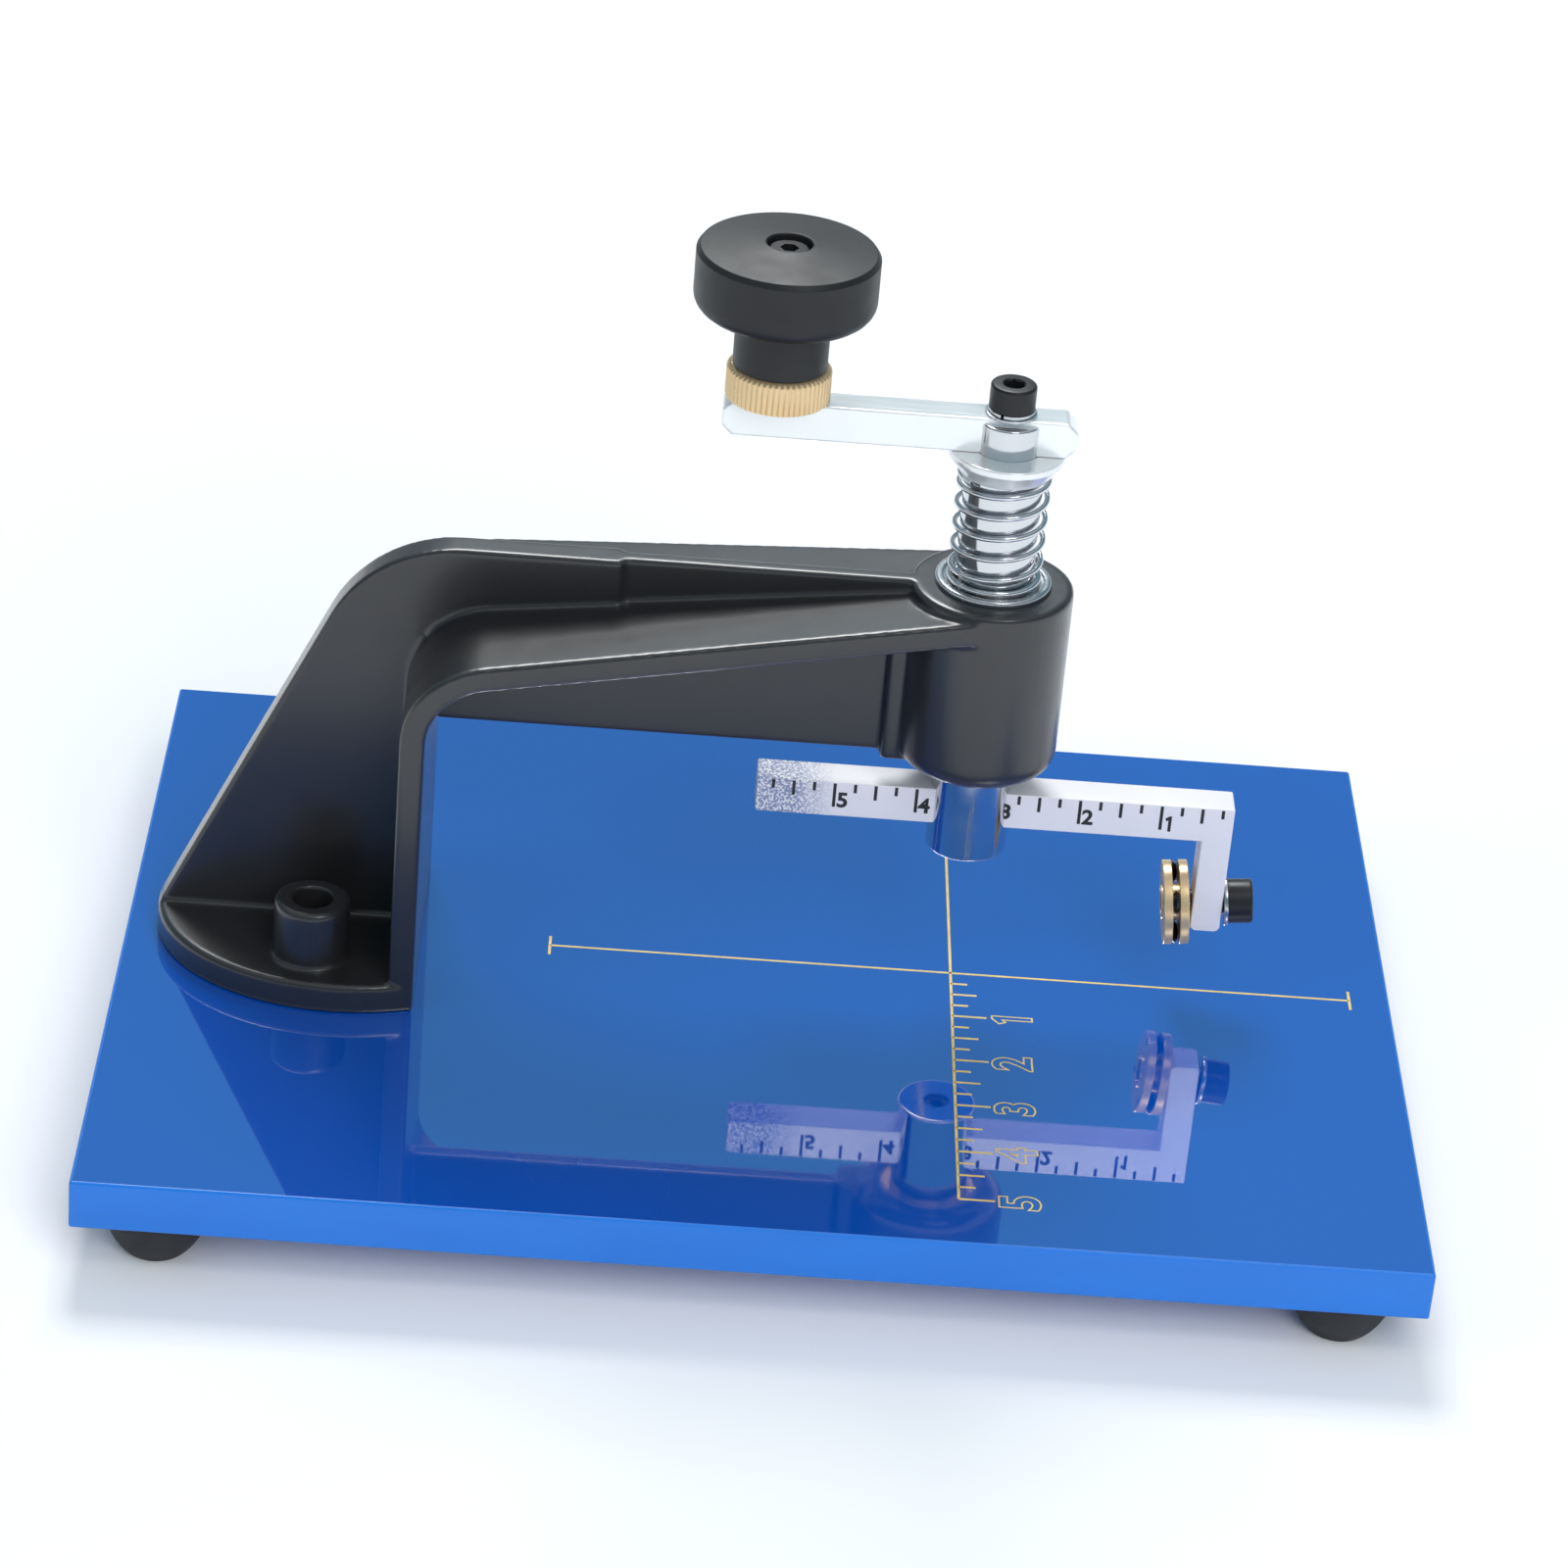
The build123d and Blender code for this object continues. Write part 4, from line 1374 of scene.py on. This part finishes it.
@dataclass
class Turret:
    """Two brass discs on a hub, with three cutting wheels on pins between them."""

    bench: Bench
    disc_r: float = 6.65
    disc_t: float = 1.45
    gap: float = 1.1
    hub_r: float = 2.65
    hub_bore: float = 2.05
    hub_core: float = 2.9
    lip: float = 0.25
    play: float = 0.01
    dish: float = 0.12
    dish_r: tuple[float, float] = (0.6, 1.1)
    pin_circle: float = 5.5
    pin_r: float = 0.6
    pin_play: float = 0.05
    wheel_r: float = 1.85
    wheel_land: float = 1.35
    wheel_half: float = 0.45
    wheel_bore: float = 0.65
    wheels: int = 3

    def places(self) -> list[tuple[float, float]]:
        """Places of the wheels round the hub, the first one lowest."""
        turns = [FULL_TURN * i / self.wheels for i in range(self.wheels)]
        return [(self.pin_circle * math.cos(t), self.pin_circle * math.sin(t)) for t in turns]

    def disc(self, side: int, tilt: Matrix) -> None:
        """One disc, dished a little round the hub, with a hole for each pin.

        Args:
            side: Which disc: -1 for the outer, 1 for the inner.
            tilt: The turret's place and axis.
        """
        near, far = self.gap / 2, self.gap / 2 + self.disc_t
        bore, floor = self.hub_r + self.play, far - self.dish
        inner, outer = (self.hub_r + r for r in self.dish_r)
        profile = rounded([(bore, near, 0), (self.disc_r, near, 0.12), (self.disc_r, far, 0.22),
                           (outer, far, 0), (inner, floor, 0), (bore, floor, 0)], 3)
        form = Form.lathe(profile, 96)
        form.cut(*[Form.rod(self.pin_r + self.pin_play, near - BEYOND, far + BEYOND, 24).move((x, y, 0))
                   for x, y in self.places()])
        if side < 0:
            bmesh.ops.scale(form.bm, vec=(1, 1, -1), verts=form.bm.verts)
            form.tidy()
        name = "inner" if side > 0 else "outer"
        self.bench.place(f"turret_plate_{name}", form.turn(tilt), Slot.BRASS, Body.TURRET.value,
                         [f"turret_disc_{name}"])

    def hub(self, tilt: Matrix) -> None:
        """Staked sleeve with a raised lip on both sides.

        Args:
            tilt: The turret's place and axis.
        """
        half, end = self.gap / 2, self.gap / 2 + self.disc_t + self.lip
        profile = rounded([(self.hub_bore, -end, 0.15), (self.hub_r, -end, 0.2), (self.hub_r, -half, 0),
                           (self.hub_core, -half, 0), (self.hub_core, half, 0), (self.hub_r, half, 0),
                           (self.hub_r, end, 0.2), (self.hub_bore, end, 0.15)], 3)
        self.bench.place("turret_sleeve", Form.lathe(profile, 64).turn(tilt), Slot.BRASS, Body.TURRET.value,
                         ["turret_hub"])

    def pins(self, tilt: Matrix) -> None:
        """Wheel pins, flush with the discs.

        Args:
            tilt: The turret's place and axis.
        """
        end = self.gap / 2 + self.disc_t
        form = Form()
        for x, y in self.places():
            profile = rounded([(0, -end, 0), (self.pin_r, -end, 0.15), (self.pin_r, end, 0.15),
                               (0, end, 0)], 2)
            form.add(Form.lathe(profile, 24).move((x, y, 0)))
        self.bench.place("pins", form.turn(tilt), Slot.OXIDE, Body.TURRET.value, ["wheel_pins"])

    def wheel(self, number: int, place: tuple[float, float], tilt: Matrix) -> None:
        """One wheel, with its sharp rim.

        Args:
            number: The wheel's number.
            place: Its place on the turret.
            tilt: The turret's place and axis.
        """
        half = self.wheel_half
        profile = [(self.wheel_bore, -half), (self.wheel_land, -half), (self.wheel_r, 0),
                   (self.wheel_land, half), (self.wheel_bore, half)]
        form = Form.lathe(profile, 64).move((*place, 0)).turn(tilt)
        self.bench.place(f"wheel_{number}", form, Slot.CARBIDE, f"wheel_{number}",
                         [f"cutting_wheel_{number}"], 25.0)

    def build(self, tilt: Matrix) -> None:
        """Make the whole sub-assembly.

        Args:
            tilt: The turret's place and axis.
        """
        for side in (-1, 1):
            self.disc(side, tilt)
        self.hub(tilt)
        self.pins(tilt)
        for number, place in enumerate(self.places(), start=1):
            self.wheel(number, place, tilt)


def turret_axis(joints: list[dict[str, object]]) -> Matrix:
    """Transform that carries a shape built along +Z to the turret's centre and axis.

    Args:
        joints: The frame's joints.

    Returns:
        The transform, in millimetres.
    """
    joint = next(j for j in joints if j["name"] == "turret_index")
    along = Vector(joint["axis"]).normalized()
    across = Vector((0, 1, 0))
    down = across.cross(along)
    turn = Matrix((down, across, along)).transposed().to_4x4()
    return Matrix.Translation(Vector(joint["pos_m"]) / MM) @ turn


# ---------------------------------------------------------------- studio
@dataclass(frozen=True)
class Studio:
    """Pale floor, soft surroundings and the camera."""

    azimuth: float = -2.04
    elevation: float = 29.57
    roll: float = 5.06
    distance: float = 0.8162
    lens: float = 120.8
    target: tuple[float, float, float] = (0.0011, 0.0, 0.0482)
    horizon: Color = (0.35, 0.37, 0.4)
    backdrop: Color = (0.085, 0.215, 0.28)
    overhead: Color = (0.48, 0.51, 0.54)
    pale: Color = (0.93, 0.93, 0.94)
    floor_half: float = 3.0
    glow_span: tuple[float, float] = (0.4, 1.4)
    glow: float = 0.6
    sensor: float = 36.0

    def floor(self) -> None:
        """A pale matt floor, which stays as pale far off as it is under the lamps."""
        bm = bmesh.new()
        bmesh.ops.create_grid(bm, x_segments=1, y_segments=1, size=self.floor_half)
        mesh = bpy.data.meshes.new("floor")
        bm.to_mesh(mesh)
        bm.free()
        floor = bpy.data.objects.new("floor", mesh)
        bpy.context.scene.collection.objects.link(floor)
        shader = Shader("pale_floor", {"Base Color": (*self.pale, 1.0), "Roughness": 0.9,
                                       "Emission Color": (1.0, 1.0, 1.0, 1.0)})
        away = shader.node("ShaderNodeVectorMath", operation="LENGTH")
        shader.link(shader.coords(), away.inputs[0])
        glow = shader.remap(away.outputs["Value"], self.glow_span, (0.0, self.glow))
        shader.set("Emission Strength", glow)
        mesh.materials.append(shader.material)

    def surroundings(self) -> None:
        """White to the eye; a softly graded room in light and reflections."""
        world = bpy.data.worlds.new("room")
        bpy.context.scene.world = world
        world.use_nodes = True
        tree = world.node_tree
        tree.nodes.clear()
        new = tree.nodes.new
        direction = new("ShaderNodeTexCoord")
        split = new("ShaderNodeSeparateXYZ")
        tree.links.new(direction.outputs["Generated"], split.inputs[0])
        height = new("ShaderNodeValToRGB")
        ramp = height.color_ramp.elements
        ramp[0].position, ramp[0].color = 0.0, (*self.horizon, 1)
        ramp[1].position, ramp[1].color = 1.0, (*self.overhead, 1)
        bands = ((0.25, self.horizon), (0.36, self.backdrop), (0.62, self.backdrop), (0.78, self.overhead))
        for position, color in bands:
            ramp.new(position).color = (*color, 1)
        tree.links.new(split.outputs["Z"], height.inputs[0])
        room, eye = new("ShaderNodeBackground"), new("ShaderNodeBackground")
        eye.inputs["Color"].default_value = (1, 1, 1, 1)
        tree.links.new(height.outputs["Color"], room.inputs["Color"])
        ray, pick = new("ShaderNodeLightPath"), new("ShaderNodeMixShader")
        out = new("ShaderNodeOutputWorld")
        tree.links.new(ray.outputs["Is Camera Ray"], pick.inputs[0])
        tree.links.new(room.outputs[0], pick.inputs[1])
        tree.links.new(eye.outputs[0], pick.inputs[2])
        tree.links.new(pick.outputs[0], out.inputs["Surface"])

    def lamp(self, name: str, place: tuple[float, float, float], size: float, power: float,
             mirrored: bool = True) -> None:
        """A square softbox that faces the object.

        Args:
            name: The lamp's name.
            place: Where it hangs, in metres.
            size: Length of its sides, in metres.
            power: Watts.
            mirrored: Whether glossy surfaces show it.
        """
        light = bpy.data.lights.new(name, "AREA")
        light.size, light.energy = size, power
        lamp = bpy.data.objects.new(name, light)
        lamp.location = place
        lamp.visible_glossy = mirrored
        lamp.rotation_euler = (Vector(self.target) - Vector(place)).to_track_quat("-Z", "Y").to_euler()
        bpy.context.scene.collection.objects.link(lamp)

    def camera(self) -> None:
        """The camera, aimed from its angles, distance and lean."""
        az, el = math.radians(self.azimuth), math.radians(self.elevation)
        out = Vector((math.sin(az) * math.cos(el), -math.cos(az) * math.cos(el), math.sin(el)))
        data = bpy.data.cameras.new("camera")
        data.lens, data.sensor_width = self.lens, self.sensor
        camera = bpy.data.objects.new("camera", data)
        camera.rotation_mode = "QUATERNION"
        camera.location = Vector(self.target) + out * self.distance
        lean = Quaternion((0, 0, 1), math.radians(self.roll))
        camera.rotation_quaternion = (-out).to_track_quat("-Z", "Y") @ lean
        bpy.context.scene.collection.objects.link(camera)
        bpy.context.scene.camera = camera

    def build(self) -> None:
        """Set the whole studio."""
        self.floor()
        self.surroundings()
        self.lamp("key", (0.4, -1.02, 0.74), 0.62, 7.6, mirrored=False)
        self.lamp("fill", (-0.96, -0.53, 0.74), 0.5, 1.5, mirrored=False)
        self.lamp("glint", (0.35, -0.6, 1.15), 0.4, 2.0)
        self.lamp("back", (-0.1, 0.85, 1.1), 0.5, 10.5)
        self.camera()
        bpy.context.scene.view_settings.view_transform = "Standard"


def main() -> None:
    """Build the object in the frame and the studio round it."""
    logging.basicConfig(level=logging.INFO, format="%(name)s: %(message)s")
    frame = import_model()
    bench = Bench(frame)
    tilt = turret_axis(frame["joints"])
    Stand(bench).build()
    Casting(bench).build()
    SpringStack(bench).build()
    Crank(bench).build()
    Knob(bench).build()
    ScaleArm(bench).build(tilt)
    Turret(bench).build(tilt)
    Studio().build()


if __name__ == "__main__":
    main()
